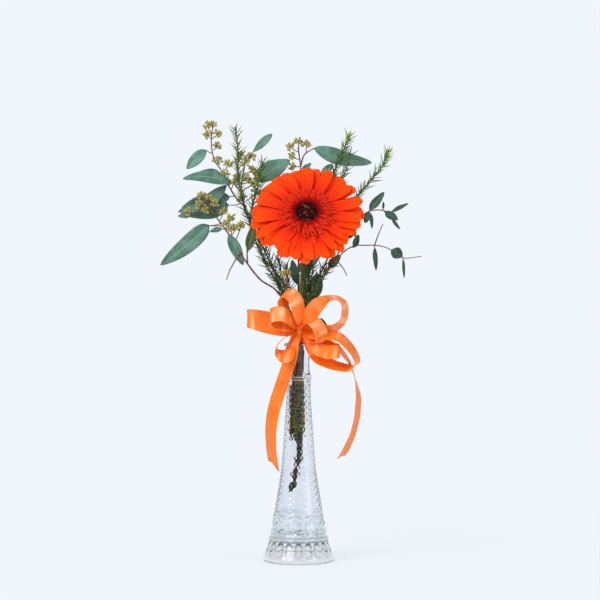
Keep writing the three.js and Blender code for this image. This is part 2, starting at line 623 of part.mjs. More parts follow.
const SPRAYS = {
  eucalyptus_left: {
    stem: STEMS.eucalyptusLeft, radius: 1.25, steps: 20, material: 'eucalyptus',
    shoots: [[[-54.5, 19, 355], [-62, 21, 362.5], [-70, 23, 375], [-79, 25, 393], [-85, 26, 402],
    [-88.5, 28, 417],
      [-87.5, 29, 434]]],
    leaves: [
      { base: [-94, 26, 412.5], tip: [-113, 23, 393.5], width: 12.5, arch: 2 },
      { base: [-79, 21, 385.5], tip: [-118, 17, 386], width: 13.5, arch: 3, sway: 1 },
      { base: [-79.5, 27, 378.5], tip: [-124, 26, 352], width: 8, up: [0.2, -0.6, 0.8], sway: -8 },
      { base: [-74, 26, 362], tip: [-121, 27, 349.5], width: 15, sway: 2 },
      { base: [-46, 28, 411], tip: [-27, 30, 429.5], width: 8.5, broad: 1.05 },
      { base: [-45, 30, 382], tip: [-9, 34, 403], width: 20, arch: 2 },
      { base: [-40, 26, 318], tip: [-22, 38, 345], width: 16, up: [-0.2, 1, 0.3], arch: 2 },
      { base: [-60, 26, 372], tip: [-74, 40, 350], width: 14, up: [-0.4, 1, 0.3], arch: 3 },
      { base: [-82, 30, 396], tip: [-100, 42, 376], width: 13, up: [-0.3, 1, 0.3], arch: 2 },
    ],
    umbels: [[-87, 29, 438], [-82, 28, 429], [-92, 28, 428], [-83, 28, 417], [-82, 27, 402], [-71, 24, 398],
      [-74, 22, 388], [-66, 23, 379], [-58, 27, 408], [-48, 27, 406], [-47, 25, 392], [-47, 22, 378]],
  },
  eucalyptus_low: {
    stem: STEMS.eucalyptusLow, radius: 1.15, steps: 18, material: 'eucalyptus',
    shoots: [
      [[-51, -4, 297], [-51.5, -2, 309], [-51.5, 0, 320]],
      [[-10, -7.3, 252], [-12, -9, 270], [-12, -10, 286]],
      [[-58, 1, 308], [-63, 0, 301], [-69, 0, 290], [-72, 0, 281]],
      [[-90, 14.5, 354], [-100, 13, 351], [-108, 12, 347]],
    ],
    leaves: [
      { base: [-90.5, 12, 336], tip: [-138.5, 5, 296], width: 18.5, arch: 2, sway: -2 },
      { base: [-77, 8, 332.5], tip: [-89, 6, 329.5], width: 5.5 },
      { base: [-70, 6, 326], tip: [-55.5, 1, 296], width: 11.5, arch: 2 },
      { base: [-51, -1, 312], tip: [-44.5, -1, 330], width: 8.5 },
      { base: [-109, 11, 346], tip: [-121, 8, 345], width: 6 },
      { base: [-84, 16, 342], tip: [-101, 28, 322], width: 14, up: [-0.3, 1, 0.3], arch: 2 },
    ],
    umbels: [[-98, 17, 366], [-90, 17, 363], [-100, 14, 357], [-76, 11, 349], [-68, 9, 343], [-63, 8, 333],
      [-73, 6, 337], [-111, 12, 349], [-12, -11, 289], [-7, -11, 279]],
  },
  eucalyptus_top: {
    stem: STEMS.eucalyptusTop, radius: 1.2, steps: 14, material: 'eucalyptus',
    shoots: [[[2, 34, 372], [12, 34, 380], [24, 34, 387]], [[2, 36, 397], [6, 37, 409], [16, 38, 415.5]]],
    leaves: [
      { base: [15.5, 38, 415.5], tip: [74.5, 42, 401], width: 16.5, arch: 2, sway: 3.5, broad: 0.75 },
      { base: [24, 34, 387], tip: [34, 34.5, 399], width: 9 },
      { base: [3, 35, 391], tip: [12.5, 34, 400], width: 6 },
      { base: [-1.5, 16, 277], tip: [-6.5, 12, 301], width: 9 },
      { base: [-2, 28, 318], tip: [-26, 44, 334], width: 16, up: [-0.3, 1, 0.4], arch: 3 },
      { base: [4, 34, 342], tip: [28, 47, 362], width: 16, up: [0.3, 1, 0.4], arch: 3 },
      { base: [1, 24, 290], tip: [22, 42, 306], width: 14, up: [0.3, 1, 0.4], arch: 3 },
    ],
    umbels: [[-8, 37, 417], [0, 38, 422], [8, 38, 419], [-6, 38, 407], [-6, 37, 397]],
  },
  needle_sprig_tall: {
    stem: STEMS.needlesTall, radius: 0.95, steps: 18, material: 'needle', bare: 222,
    shoots: [[[-48.5, 10, 339], [-45, 15, 362], [-39.5, 20, 382], [-37.5, 22, 396], [-37, 23.5, 404]]],
    needled: [0],
  },
  needle_sprig_low: {
    stem: STEMS.needlesLow, radius: 0.95, steps: 12, material: 'needle', bare: 152,
    shoots: [[[-13, 2, 260], [-21, 1, 283], [-29, 1, 303], [-34, 1, 316]],
      [[-12, 1.6, 258], [-15, 0, 278], [-18, 0, 290], [-21, 1, 305]]],
    needled: [0, 1],
  },
  needle_sprig_right: {
    stem: STEMS.needlesRight, radius: 0.95, steps: 15, material: 'needle', bare: 262,
    shoots: [[[28, 26, 362], [39, 25, 377], [46, 25, 388], [50, 25, 400], [53, 25, 412]]], needled: [0],
  },
  needle_sprig_far: { stem: STEMS.needlesFar, radius: 0.95, steps: 16, material: 'needle', bare: 256 },
  needle_sprig_fan: {
    stem: STEMS.needlesFan, radius: 0.95, steps: 12, material: 'needle', bare: 142,
    shoots: [[[14, -7.5, 268], [19, -9, 279], [28, -10, 290], [35, -10, 298]],
      [[20, -8, 284], [27, -9, 296], [37, -9, 299.5], [44, -9, 293], [48, -9, 285]]],
    needled: [0],
  },
  gum_twig: {
    stem: STEMS.gumTwig, radius: 0.95, steps: 18, material: 'twig',
    shoots: [
      [[34, 4, 298], [46.5, 2, 310], [56, 1, 315], [65, 0, 315.5], [76, 0, 315.5], [85, -1, 314],
      [93, -1, 310.5],
        [102, -1, 305], [107, -1, 302.5], [123, -1, 304.5]],
      [[76, 0, 315.5], [80, 0, 327], [84.5, 0, 337]],
    ],
    leaves: [
      { base: [71, 2, 351], tip: [85.5, 1, 368.5], width: 8.5 },
      { base: [70, 1.5, 348.5], tip: [66.5, 0, 338], width: 7.5 },
      { base: [72.5, 1, 347], tip: [73.5, 0, 332.5], width: 3.6 },
      { base: [84.6, 0, 352], tip: [84.8, -1, 359], width: 2.4 },
      { base: [86.5, -1, 348.5], tip: [99, -2, 341], width: 8.5 },
      { base: [93, 0, 349], tip: [109.5, 1, 357.5], width: 4.4 },
      { base: [93.5, -2, 341], tip: [101, -4, 331.5], width: 3.4 },
      { base: [76, 0, 313], tip: [77.5, -1, 290.5], width: 4.8 },
      { base: [92.5, -1, 311], tip: [103.5, -3, 304], width: 11.8, broad: 0.95 },
      { base: [104.5, -1, 301.5], tip: [105.5, -2, 283], width: 2.8 },
      { base: [55.5, 2, 313.5], tip: [61, 0, 326], width: 7.5 },
      { base: [13.5, 3, 260], tip: [20, 3, 287], width: 15, broad: 0.95 },
      { base: [30, 7, 293], tip: [42, 17, 306], width: 9, up: [0.3, 1, 0.4] },
      { base: [58, 6, 336], tip: [70, 17, 330], width: 8, up: [0.3, 1, 0.4] },
    ],
    umbels: [[54, 5, 329]],
  },
};

// ---------------------------------------------------------------- the part

const part = new THREE.Group();

function add(name, solid, material) {
  const mesh = oneBody(solid).getMesh();
  const geometry = new THREE.BufferGeometry();
  geometry.setAttribute('position', new THREE.BufferAttribute(mesh.vertProperties, 3));
  geometry.setIndex(outerSkin(mesh));
  geometry.computeVertexNormals();
  const piece = new THREE.Mesh(geometry, MATERIALS[material]);
  piece.name = name;
  part.add(piece);
}

/** The hole that a stem stands in: wider than the stem all round, and a little deeper than its foot. */
function holeFor(curve, radius, sides, steps) {
  const [foot, heading] = [curve.getPoint(0), curve.getTangent(0)];
  const below = foot.clone().addScaledVector(heading, -CLEARANCE);
  const above = foot.clone().addScaledVector(heading, 2);
  const wide = radius + CLEARANCE;
  const bottom = loft([below, above].map((end) => ringAt(end, heading, wide, 8)));
  return fuse([bar(curve, wide, sides, steps), bottom]);
}

const holes = [holeFor(scapeCurve, SCAPE_RADIUS, SCAPE_SIDES, SCAPE_STEPS)];
for (const { stem, radius, steps } of Object.values(SPRAYS)) {
  holes.push(holeFor(stem, radius, STEM_SIDES, steps));
}

add('vase', vase(), 'glass');
add('water', water(holes), 'water');
add('gerbera_scape', scape(scapeCurve), 'stalk');
add('gerbera_rays', rays(), 'ray');
add('gerbera_inner_florets', innerFlorets(), 'floret');
add('gerbera_disc', disc(), 'disc');
for (const [name, description] of Object.entries(SPRAYS)) {
  add(name, spray(description), description.material);
}
add('ribbon_bow', ribbonBow(), 'ribbon');

export default part;
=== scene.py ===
# %% [markdown]
# # A gerbera in a pressed glass bud vase
# One orange bloom stands in water in a slim clear vase, with seeded eucalyptus, needle foliage and a satin
# bow. The measured solids come in first as a fixed frame. Each looks plain, so every one is replaced here
# by a finer piece that keeps its place.

# %% The fixed frame
import math
import random

import bpy
from mathutils import Matrix, Vector


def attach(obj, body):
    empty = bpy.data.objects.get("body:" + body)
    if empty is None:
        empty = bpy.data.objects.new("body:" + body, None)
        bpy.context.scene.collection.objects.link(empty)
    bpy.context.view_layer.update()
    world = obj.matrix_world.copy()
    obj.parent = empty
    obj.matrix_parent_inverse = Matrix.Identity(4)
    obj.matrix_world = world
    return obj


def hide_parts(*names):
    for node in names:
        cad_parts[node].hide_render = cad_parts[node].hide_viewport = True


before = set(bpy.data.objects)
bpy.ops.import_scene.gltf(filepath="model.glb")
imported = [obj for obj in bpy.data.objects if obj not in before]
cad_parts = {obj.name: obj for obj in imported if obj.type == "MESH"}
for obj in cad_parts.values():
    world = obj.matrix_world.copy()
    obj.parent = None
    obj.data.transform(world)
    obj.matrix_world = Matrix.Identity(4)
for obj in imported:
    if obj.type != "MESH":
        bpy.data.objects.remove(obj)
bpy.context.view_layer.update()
print("solids:", sorted(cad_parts))

# %% [markdown]
# The sizes below are written in millimetres, as a florist or a glass maker would say them, and become
# metres only when a mesh is made. Smooth stems follow a Catmull-Rom curve, because it passes through each
# place given.

# %% Lengths and curves
MM = 0.001
GOLDEN_ANGLE = math.radians(137.508)


def span(parts):
    """Numbers from 0 to 1 in so many equal parts."""
    return [i / parts for i in range(parts + 1)]


def clock(sides):
    """The angles of so many equal steps round a circle."""
    return [2 * math.pi * k / sides for k in range(sides)]


def circle(radius, height, sides):
    """Points round the upright axis."""
    return [Vector((radius * math.cos(a), radius * math.sin(a), height)) for a in clock(sides)]


def along_curve(places, t):
    """A point at t, from 0 to 1, on the Catmull-Rom curve through the places."""
    places = [Vector(p) for p in places]
    at = t * (len(places) - 1)
    k = min(int(at), len(places) - 2)
    w = at - k
    before = places[k - 1] if k > 0 else 2 * places[0] - places[1]
    after = places[k + 2] if k + 2 < len(places) else 2 * places[-1] - places[-2]
    start, end = places[k], places[k + 1]
    go, come = (end - before) / 2, (after - start) / 2
    cubic = (2 * start - 2 * end + go + come) * w**3
    square = (-3 * start + 3 * end - 2 * go - come) * w**2
    return cubic + square + go * w + start


def even_path(places, step):
    """Points about one step apart along the curve through the places."""
    fine = [along_curve(places, t) for t in span(24 * (len(places) - 1))]
    total = sum((b - a).length for a, b in zip(fine, fine[1:]))
    count = max(3, round(total / step))
    path, walked, want = [fine[0]], 0.0, total / count
    for a, b in zip(fine, fine[1:]):
        length = (b - a).length
        while walked + length >= want - 1e-9 and len(path) < count:
            path.append(a.lerp(b, (want - walked) / max(length, 1e-9)))
            want += total / count
        walked += length
    return path + [fine[-1]]


def headings(path):
    """The direction of travel at each point of a path."""
    last = len(path) - 1
    return [(path[min(i + 1, last)] - path[max(i - 1, 0)]).normalized() for i in range(last + 1)]


trial = even_path([(0, 0, 0), (0, 0, 50), (10, 0, 90)], 3)
print("a curve through three places is", len(trial), "points long")

# %% [markdown]
# Python builds the one-off shapes. A builder collects points, faces and a UV for each point, so that
# several tubes and blades become one mesh, and the UVs say how far along and across a blade each point
# lies.

# %% A mesh builder
def in_scene(name, data):
    """A new object in the scene."""
    thing = bpy.data.objects.new(name, data)
    bpy.context.scene.collection.objects.link(thing)
    return thing


class Shape:
    """Points in millimetres with a UV each, and the faces between them."""

    def __init__(self):
        self.points, self.uvs, self.faces, self.tints = [], [], [], []

    def grid(self, rows, uv_rows, tint=0.5, closed=False):
        """Faces between rows of points of the same length."""
        width = len(rows[0])
        start = len(self.points)
        for row, uv_row in zip(rows, uv_rows):
            self.points += row
            self.uvs += uv_row
        self.tints += [tint] * (width * len(rows))
        for i in range(len(rows) - 1):
            for k in range(width if closed else width - 1):
                a, b = start + i * width + k, start + i * width + (k + 1) % width
                self.faces.append((a, b, b + width, a + width))
        return start

    def sheet(self, place_at, along, across, tint=0.5, v_at=float):
        """A blade: place_at gives the point for each step along and across it, and these become its UVs."""
        rows = [[place_at(t, s) for s in across] for t in along]
        return self.grid(rows, [[(s, v_at(t)) for s in across] for t in along], tint)

    def close(self, start, sides):
        """Flat lids on the ring at start and on the last ring of the shape."""
        end = len(self.points) - sides
        self.faces.append(tuple(start + k for k in reversed(range(sides))))
        self.faces.append(tuple(end + k for k in range(sides)))

    def tube(self, path, radius_at, sides=8, tint=0.5):
        """A round stem along a path, closed at both ends. radius_at gives its radius from foot to tip."""
        ways = headings(path)
        side = ways[0].orthogonal().normalized()
        rings, uvs, walked = [], [], 0.0
        for i, (point, way) in enumerate(zip(path, ways)):
            side = (side - way * side.dot(way)).normalized()
            other = way.cross(side)
            radius = radius_at(i / (len(path) - 1))
            rings.append([point + radius * (side * math.cos(a) + other * math.sin(a)) for a in clock(sides)])
            walked += (point - path[i - 1]).length if i else 0.0
            uvs.append([(k / sides, walked * 0.01) for k in range(sides)])
        self.close(self.grid(rings, uvs, tint, closed=True), sides)

    def build(self, name, finish, thickness=0.0):
        """The mesh object, in metres, with its finish."""
        mesh = bpy.data.meshes.new(name)
        mesh.from_pydata([p * MM for p in self.points], [], self.faces)
        uv_layer = mesh.uv_layers.new(name="UVMap")
        for loop in mesh.loops:
            uv_layer.data[loop.index].uv = self.uvs[loop.vertex_index]
        tints = mesh.attributes.new("tint", "FLOAT", "POINT")
        tints.data.foreach_set("value", self.tints)
        mesh.shade_smooth()
        mesh.materials.append(finish)
        piece = in_scene(name, mesh)
        if thickness:
            skin = piece.modifiers.new("skin", "SOLIDIFY")
            skin.thickness, skin.offset = thickness * MM, 0.0
            settle(piece)
        return piece


def evaluated_mesh(piece):
    """The plain mesh that a piece's modifiers make."""
    bpy.context.view_layer.update()
    depsgraph = bpy.context.evaluated_depsgraph_get()
    final = piece.evaluated_get(depsgraph)
    return bpy.data.meshes.new_from_object(final, preserve_all_data_layers=True, depsgraph=depsgraph)


def settle(piece):
    """The piece with its modifiers turned into a plain mesh."""
    mesh = evaluated_mesh(piece)
    piece.modifiers.clear()
    piece.data = mesh
    mesh.name = piece.name
    return piece


def joined(name, pieces):
    """Several finished meshes as one piece, with their finishes kept."""
    bpy.ops.object.select_all(action="DESELECT")
    for piece in pieces:
        piece.select_set(True)
    bpy.context.view_layer.objects.active = pieces[0]
    bpy.ops.object.join()
    pieces[0].name = pieces[0].data.name = name
    return pieces[0]


def count_faces(piece):
    """Prints how many triangles a finished piece has, and passes it on."""
    triangles = sum(len(face.vertices) - 2 for face in piece.data.polygons)
    print(f"{piece.name}: {triangles} triangles")
    return piece


# %% [markdown]
# Finishes are shader trees. Written as sums on small wrapped sockets they read like the formula that they
# are: `1 - ridge * 0.4` adds its own Math nodes. Colours are mixed by a Mix node, because a Math node turns
# them grey.

# %% Shader sums
class Value:
    """A socket of a node tree, on which sums add Math nodes."""

    def __init__(self, owner, socket):
        self.owner, self.socket = owner, socket

    def _sum(self, operation, *terms):
        return self.owner.add("ShaderNodeMath", {"operation": operation}, dict(enumerate(terms)))

    def __add__(self, other):
        return self._sum("ADD", self, other)

    def __sub__(self, other):
        return self._sum("SUBTRACT", self, other)

    def __rsub__(self, other):
        return self._sum("SUBTRACT", other, self)

    def __mul__(self, other):
        return self._sum("MULTIPLY", self, other)

    def __truediv__(self, other):
        return self._sum("DIVIDE", self, other)

    def __pow__(self, other):
        return self._sum("POWER", self, other)

    __radd__, __rmul__ = __add__, __mul__

    def wave(self, turns):
        """A sine wave from 0 to 1 with so many turns for each unit."""
        return self._sum("SINE", self * (2 * math.pi * turns)) * 0.5 + 0.5

    def absolute(self):
        return self._sum("ABSOLUTE", self)

    def floor(self):
        return self._sum("FLOOR", self)

    def at_least(self, low):
        return self._sum("MAXIMUM", self, low)

    def at_most(self, high):
        return self._sum("MINIMUM", self, high)

    def circle(self):
        """The cosine and the sine of this angle."""
        return self._sum("COSINE", self), self._sum("SINE", self)

    def output(self, name):
        """Another output of the same node."""
        return Value(self.owner, self.socket.node.outputs[name])

    def step(self, low, high):
        """0 below low, 1 above high and smooth between."""
        return self.owner.add("ShaderNodeMapRange", {"interpolation_type": "SMOOTHSTEP"}, {
            "Value": self, "From Min": low, "From Max": high})


class Sheet:
    """A node tree that nodes are added to."""

    def __init__(self, tree):
        self.tree = tree

    def add(self, kind, settings=None, inputs=None, out=0):
        """A node of a kind, its settings made first, then its sockets filled with values or links."""
        node = self.tree.nodes.new(kind)
        for name, value in (settings or {}).items():
            if name == "stops":
                ramp = node.color_ramp.elements
                while len(ramp) < len(value):
                    ramp.new(0.5)
                for stop, (place, color) in zip(ramp, value):
                    stop.position, stop.color = place, color
            else:
                setattr(node, name, value)
        for name, value in (inputs or {}).items():
            if isinstance(value, Value):
                self.tree.links.new(value.socket, node.inputs[name])
            else:
                node.inputs[name].default_value = value
        return Value(self, node.outputs[out]) if node.outputs else None

    def vector(self, x, y, z=0.0):
        return self.add("ShaderNodeCombineXYZ", {}, {0: x, 1: y, 2: z})

    def split(self, vector):
        """The three numbers of a vector."""
        first = self.add("ShaderNodeSeparateXYZ", {}, {0: vector})
        return [first.output(axis) for axis in range(3)]


class Finish(Sheet):
    """A material and the tree behind it."""

    def __init__(self, name):
        self.material = bpy.data.materials.new(name)
        self.material.use_nodes = True
        super().__init__(self.material.node_tree)
        self.tree.nodes.clear()

    def place(self):
        return self.add("ShaderNodeTexCoord", out="Object")

    def uv(self):
        """How far across and along a blade: U and V."""
        return self.split(self.add("ShaderNodeTexCoord", out="UV"))[:2]

    def noise(self, scale, detail=3.0, where=None, stretch=None):
        """A cloudy pattern from 0 to 1, scale times per metre."""
        where = where or self.place()
        if stretch:
            where = self.add("ShaderNodeVectorMath", {"operation": "MULTIPLY"}, {0: where, 1: stretch})
        return self.add("ShaderNodeTexNoise", {}, {"Vector": where, "Scale": scale, "Detail": detail})

    def tint(self):
        """The number that each copy, leaf or tube carries."""
        return self.add("ShaderNodeAttribute", {"attribute_name": "tint"}, out="Fac")

    def mix(self, low, high, factor):
        """From one colour to another."""
        return self.add("ShaderNodeMix", {"data_type": "RGBA"}, {0: factor, 6: low, 7: high}, out=2)

    def ramp(self, factor, *stops):
        return self.add("ShaderNodeValToRGB", {"stops": stops}, {0: factor})

    def bump(self, height, depth, strength=1.0):
        """A surface that stands up to depth millimetres proud where height is 1."""
        return self.add("ShaderNodeBump", {}, {
            "Height": height, "Distance": depth * MM, "Strength": strength})

    def coat(self, **sockets):
        """The Principled surface, with socket names in lower case and words joined by a low line."""
        named = {word.replace("_", " ").title().replace("Ior", "IOR"): value
                 for word, value in sockets.items()}
        surface = self.add("ShaderNodeBsdfPrincipled", {}, named)
        self.add("ShaderNodeOutputMaterial", {}, {"Surface": surface})
        return self.material


def rgb(red, green, blue):
    """A colour of 0 to 255 on a screen, as the light that it stands for."""
    shares = (red / 255, green / 255, blue / 255)
    linear = [c / 12.92 if c <= 0.04045 else ((c + 0.055) / 1.055) ** 2.4 for c in shares]
    return (*linear, 1.0)


print("a mid orange holds this much light:", [round(c, 3) for c in rgb(255, 120, 40)])

# %% [markdown]
# The camera stands about two metres away with a long lens, just above the height of the bow, so that the
# vase hardly narrows with distance. The floor fades into the colour of the world as it goes back, which is
# what a photographer's curved paper roll does: no horizon shows behind the glass.

# %% Camera, paper roll and light
EYE = (1.4, -2023.0, 260.8)
VIEW_WIDTH = 600.0
FILM_WIDTH = 36.0
camera = in_scene("camera", bpy.data.cameras.new("camera"))
camera.data.sensor_width = FILM_WIDTH
camera.data.lens = FILM_WIDTH * -EYE[1] / VIEW_WIDTH
camera.data.clip_end = 50.0
camera.location = Vector(EYE) * MM
camera.rotation_euler = (math.radians(90), 0, 0)
bpy.context.scene.camera = camera
bpy.context.scene.view_settings.view_transform = "Standard"

STUDIO_WHITE = rgb(240, 246, 252)
world = bpy.data.worlds.new("studio")
world.use_nodes = True
backdrop = Sheet(world.node_tree)
ray = backdrop.add("ShaderNodeLightPath")
_, back, up = backdrop.split(backdrop.add("ShaderNodeTexCoord"))
glow = 0.2 + back.step(0.3, 0.85) * 0.8 + up.step(0.3, 1.0) * 0.5
lit = glow.at_least(ray).at_most(1.0)
background = world.node_tree.nodes["Background"].inputs
background["Color"].default_value = STUDIO_WHITE
world.node_tree.links.new(lit.socket, background["Strength"])
bpy.context.scene.world = world

paper = Finish("pale_paper")
distance = paper.add("ShaderNodeVectorMath", {"operation": "LENGTH"}, {0: paper.place()}, out=1)
near_tone = paper.mix(rgb(238, 241, 247), rgb(244, 247, 252), paper.noise(6.0))
near = paper.add("ShaderNodeBsdfDiffuse", {}, {"Color": near_tone})
far = paper.add("ShaderNodeEmission", {}, {"Color": STUDIO_WHITE, "Strength": 1.0})
both = paper.add("ShaderNodeMixShader", {}, {0: distance.step(-0.1, 0.6) * 0.25 + 0.75, 1: near, 2: far})
paper.add("ShaderNodeOutputMaterial", {}, {"Surface": both})
ROLL_SIDES = 48
roll = Shape()
rings = [circle(radius, 0, ROLL_SIDES) for radius in (30000, 4000, 900, 300, 60, 1)]
roll.grid(rings, [[(0, 0)] * ROLL_SIDES for _ in rings], closed=True)
floor = roll.build("paper_roll", paper.material)


def softbox(name, place, aim, width, height, watts):
    """A rectangular soft light that faces the point it is aimed at."""
    light = bpy.data.lights.new(name, "AREA")
    light.shape = "RECTANGLE"
    light.size, light.size_y, light.energy = width, height, watts
    lamp = in_scene(name, light)
    lamp.location, lamp.visible_transmission = place, False
    lamp.rotation_euler = (Vector(aim) - Vector(place)).to_track_quat("-Z", "Y").to_euler()


LIT_PLACE = (0, 0, 0.27)
softbox("window_left", (-1.6, -1.8, 1.9), LIT_PLACE, 1.8, 2.0, 61)
softbox("fill_right", (1.9, -1.4, 0.9), LIT_PLACE, 1.4, 1.8, 20)
print("lens in mm:", round(camera.data.lens, 1))

# %% [markdown]
# The vase is pressed glass: molten glass squeezed between a patterned mould and a plain plunger, so the
# pattern is only on the outside. One profile is turned round the axis and each point is pushed in or out by
# a relief that depends on its height and angle: flutes on the foot, leaf strokes above them, small diamonds
# on the body and flat panels on the neck. A turned grid gives the relief real thickness, which glass needs
# to bend light.

# %% Profile of the vase
FOOT = [(34.2, 0), (35.1, 0.7), (35.3, 2.2), (35.3, 4.4), (34.8, 5.4), (32.9, 11), (31.2, 16), (30.0, 20)]
RING = [(29.4, 21.0), (29.9, 22.2), (29.9, 23.8), (29.2, 25.0), (28.0, 26.4)]
BODY = [(27.2, 31), (26, 38), (24.3, 48.7), (21.6, 64), (19, 81), (17.5, 91), (15.7, 111), (14, 135),
        (12.4, 160), (12.0, 176), (12.1, 179)]
SHOULDER = [(12.8, 180.2), (12.95, 181.2), (12.5, 182.2), (12.9, 183.4), (12.8, 184.6), (11.8, 186.4)]
NECK = [(11.4, 190), (11.0, 199), (11.6, 205), (12.6, 209.5), (14.0, 213)]
LIP = [(14.4, 214.6), (14.3, 216.6), (13.7, 217.7), (13.1, 218.0), (12.6, 217.6)]
INSIDE = [(11.8, 215.5), (10.6, 213), (9.2, 206), (8.9, 200), (8.8, 178), (10.6, 137), (13.6, 97), (17.8, 66),
          (20.6, 42), (20.3, 30), (18.5, 20), (16.5, 16), (13, 14.2), (6, 14), (1.5, 14)]
FLUTES, LEAF_PAIRS, DIAMONDS, PANELS = 20, 9, 16, 12
FLUTED, LEAFY, CUT_IN_DIAMONDS, PANELLED = (5.5, 20.5), (27, 50), (50, 179), (188, 212)
LEAF_CELL_WIDTH, LEAF_CELL_MIDDLE = 17, 38
LEAF_STROKES = [(-4.2, 1.5, 0.62, (4.2, 1.15)), (-4.6, -6, -0.35, (3.6, 1.0)), (-3.2, 8.4, 0.3, (3.4, 0.9))]
DIAMOND_PITCH = 6.3


def bell(x, width):
    """1 at the middle, fading out over the width."""
    return math.exp(-((x / width) ** 2))


def stroke(u, v, centre, lean, length, width):
    """One raised leaf stroke of the mould, as a long bell turned by its lean."""
    du, dv = u - centre[0], v - centre[1]
    way = (math.cos(lean), math.sin(lean))
    return bell(du * way[0] + dv * way[1], length) * bell(dv * way[0] - du * way[1] + 0.02 * du * du, width)


def arch_at(angle):
    """The height of the arch that ends a flute."""
    return 20.3 - 3.2 * (0.5 - 0.5 * math.cos(FLUTES * angle))


def inside_zone(z, zone):
    """Whether a height lies in a zone of the mould."""
    return zone[0] < z < zone[1]


def fading(z, zone, rise, fall):
    """1 inside a zone of heights, less over the last millimetres at its foot and its top."""
    return min(1.0, (z - zone[0]) / rise) * min(1.0, (zone[1] - z) / fall)


def relief(angle, z):
    """How far the mould pushes the wall out, in millimetres."""
    if inside_zone(z, FLUTED):
        turn = math.cos(FLUTES * angle)
        fade = min(1.0, (z - FLUTED[0]) / 3) * min(1.0, max(0.0, (arch_at(angle) - z) / 1.2))
        return -1.0 * (0.5 + 0.5 * turn) ** 0.7 * fade
    if inside_zone(z, LEAFY):
        cell = (angle * LEAF_PAIRS / (2 * math.pi)) % 1.0
        u, v = (cell - 0.5) * LEAF_CELL_WIDTH, z - LEAF_CELL_MIDDLE
        raised = [stroke(u, v, (x, y), lean, *size) + stroke(u, v, (-x, y), -lean, *size)
                  for x, y, lean, size in LEAF_STROKES]
        return 0.75 * min(1.0, sum(raised) + bell(u, 1.3) * bell(v - 5, 1.3)) - 0.15
    if inside_zone(z, CUT_IN_DIAMONDS):
        diamond = math.cos(DIAMONDS * angle) * math.cos(2 * math.pi * z / DIAMOND_PITCH)
        return (0.36 * max(0.0, diamond) ** 1.2 - 0.08) * fading(z, CUT_IN_DIAMONDS, 3, 2)
    if inside_zone(z, PANELLED):
        return -0.28 * abs(math.cos(PANELS * angle / 2)) ** 6 * fading(z, PANELLED, 3, 3)
    return 0.0


def spaced(profile, step):
    """The profile's smooth curve as points about one step apart."""
    path = even_path([(r, 0, z) for r, z in profile], step)
    return [(p.x, p.z) for p in path]


# Heights of the painted shade lines beside the ring, and of the painted highlight lines on the shoulder.
RING_TOP, PAINTED_SHADE_RINGS = 26, (21.4, 25.2)
SHOULDERED, PAINTED_HIGHLIGHT_RINGS = (180, 186), (181.2, 184.0)


def crease(angle, z):
    """Painted shade on the glass, up to 1: along the flute arches, the foot and the ring, and where steep
    sides turn light away. Below 0 it is a painted highlight.
    """
    slope_up = (relief(angle, z + 0.4) - relief(angle, z - 0.4)) / 0.8
    slope_round = (relief(angle + 0.012, z) - relief(angle - 0.012, z)) / (0.024 * 25)
    dark = min(1.0, 1.1 * math.hypot(slope_up, slope_round))
    if z < FLUTED[1]:
        turn = 0.5 + 0.5 * math.cos(FLUTES * angle)
        arch = bell(z - arch_at(angle), 1.5) * turn * 2.0
        return max(0.95 * dark + 0.08, arch, 0.3 * bell(z - 5.0, 0.8), 0.6 * bell(z - 0.4, 0.9))
    if z < RING_TOP:
        return 0.08 + 0.8 * bell(z - PAINTED_SHADE_RINGS[0], 0.7) + 0.7 * bell(z - PAINTED_SHADE_RINGS[1], 0.7)
    if inside_zone(z, SHOULDERED):
        return -max(bell(z - height, 0.75) for height in PAINTED_HIGHLIGHT_RINGS)
    return (0.9 if z < LEAFY[1] else 0.42) * dark


COLUMNS, WATER_COLUMNS = 192, 64
UNDERSIDE = [(1.5, 0), (20, 0), (32, 0)]
outside = [row for part in (FOOT, RING, BODY, SHOULDER, NECK, LIP) for row in spaced(part, 0.95)]
inside = spaced(INSIDE, 4.0)
rows = [circle(radius, z, COLUMNS) for radius, z in UNDERSIDE]
for radius, z in outside:
    pushed = [radius + relief(a, z) for a in clock(COLUMNS)]
    rows.append([Vector((r * math.cos(a), r * math.sin(a), z)) for r, a in zip(pushed, clock(COLUMNS))])
rows += [circle(radius, z, COLUMNS) for radius, z in inside]
glass_shape = Shape()
uvs = [[(k / COLUMNS, row[0].z * 0.01) for k in range(COLUMNS)] for row in rows]
glass_shape.grid(rows, uvs, closed=True)
# Each outer point of the glass carries its painted shade in the tint; values below 0 stand for painted
# highlight.
painted_shade_and_highlight = [min(1.0, crease(a, z)) for _, z in UNDERSIDE + outside for a in clock(COLUMNS)]
glass_shape.tints = painted_shade_and_highlight + [0.0] * (len(inside) * COLUMNS)
glass_shape.close(0, COLUMNS)
print("the vase has", len(rows), "rows of", COLUMNS, "points")

# %% [markdown]
# Clear glass is nearly all refraction. What makes it look pressed and not blown is a slightly wavy skin,
# which a weak bump gives, and the faint green of its iron, which only shows where the glass is thick: an
# absorbing volume does that by itself, because light through the foot travels much further than through the
# wall.

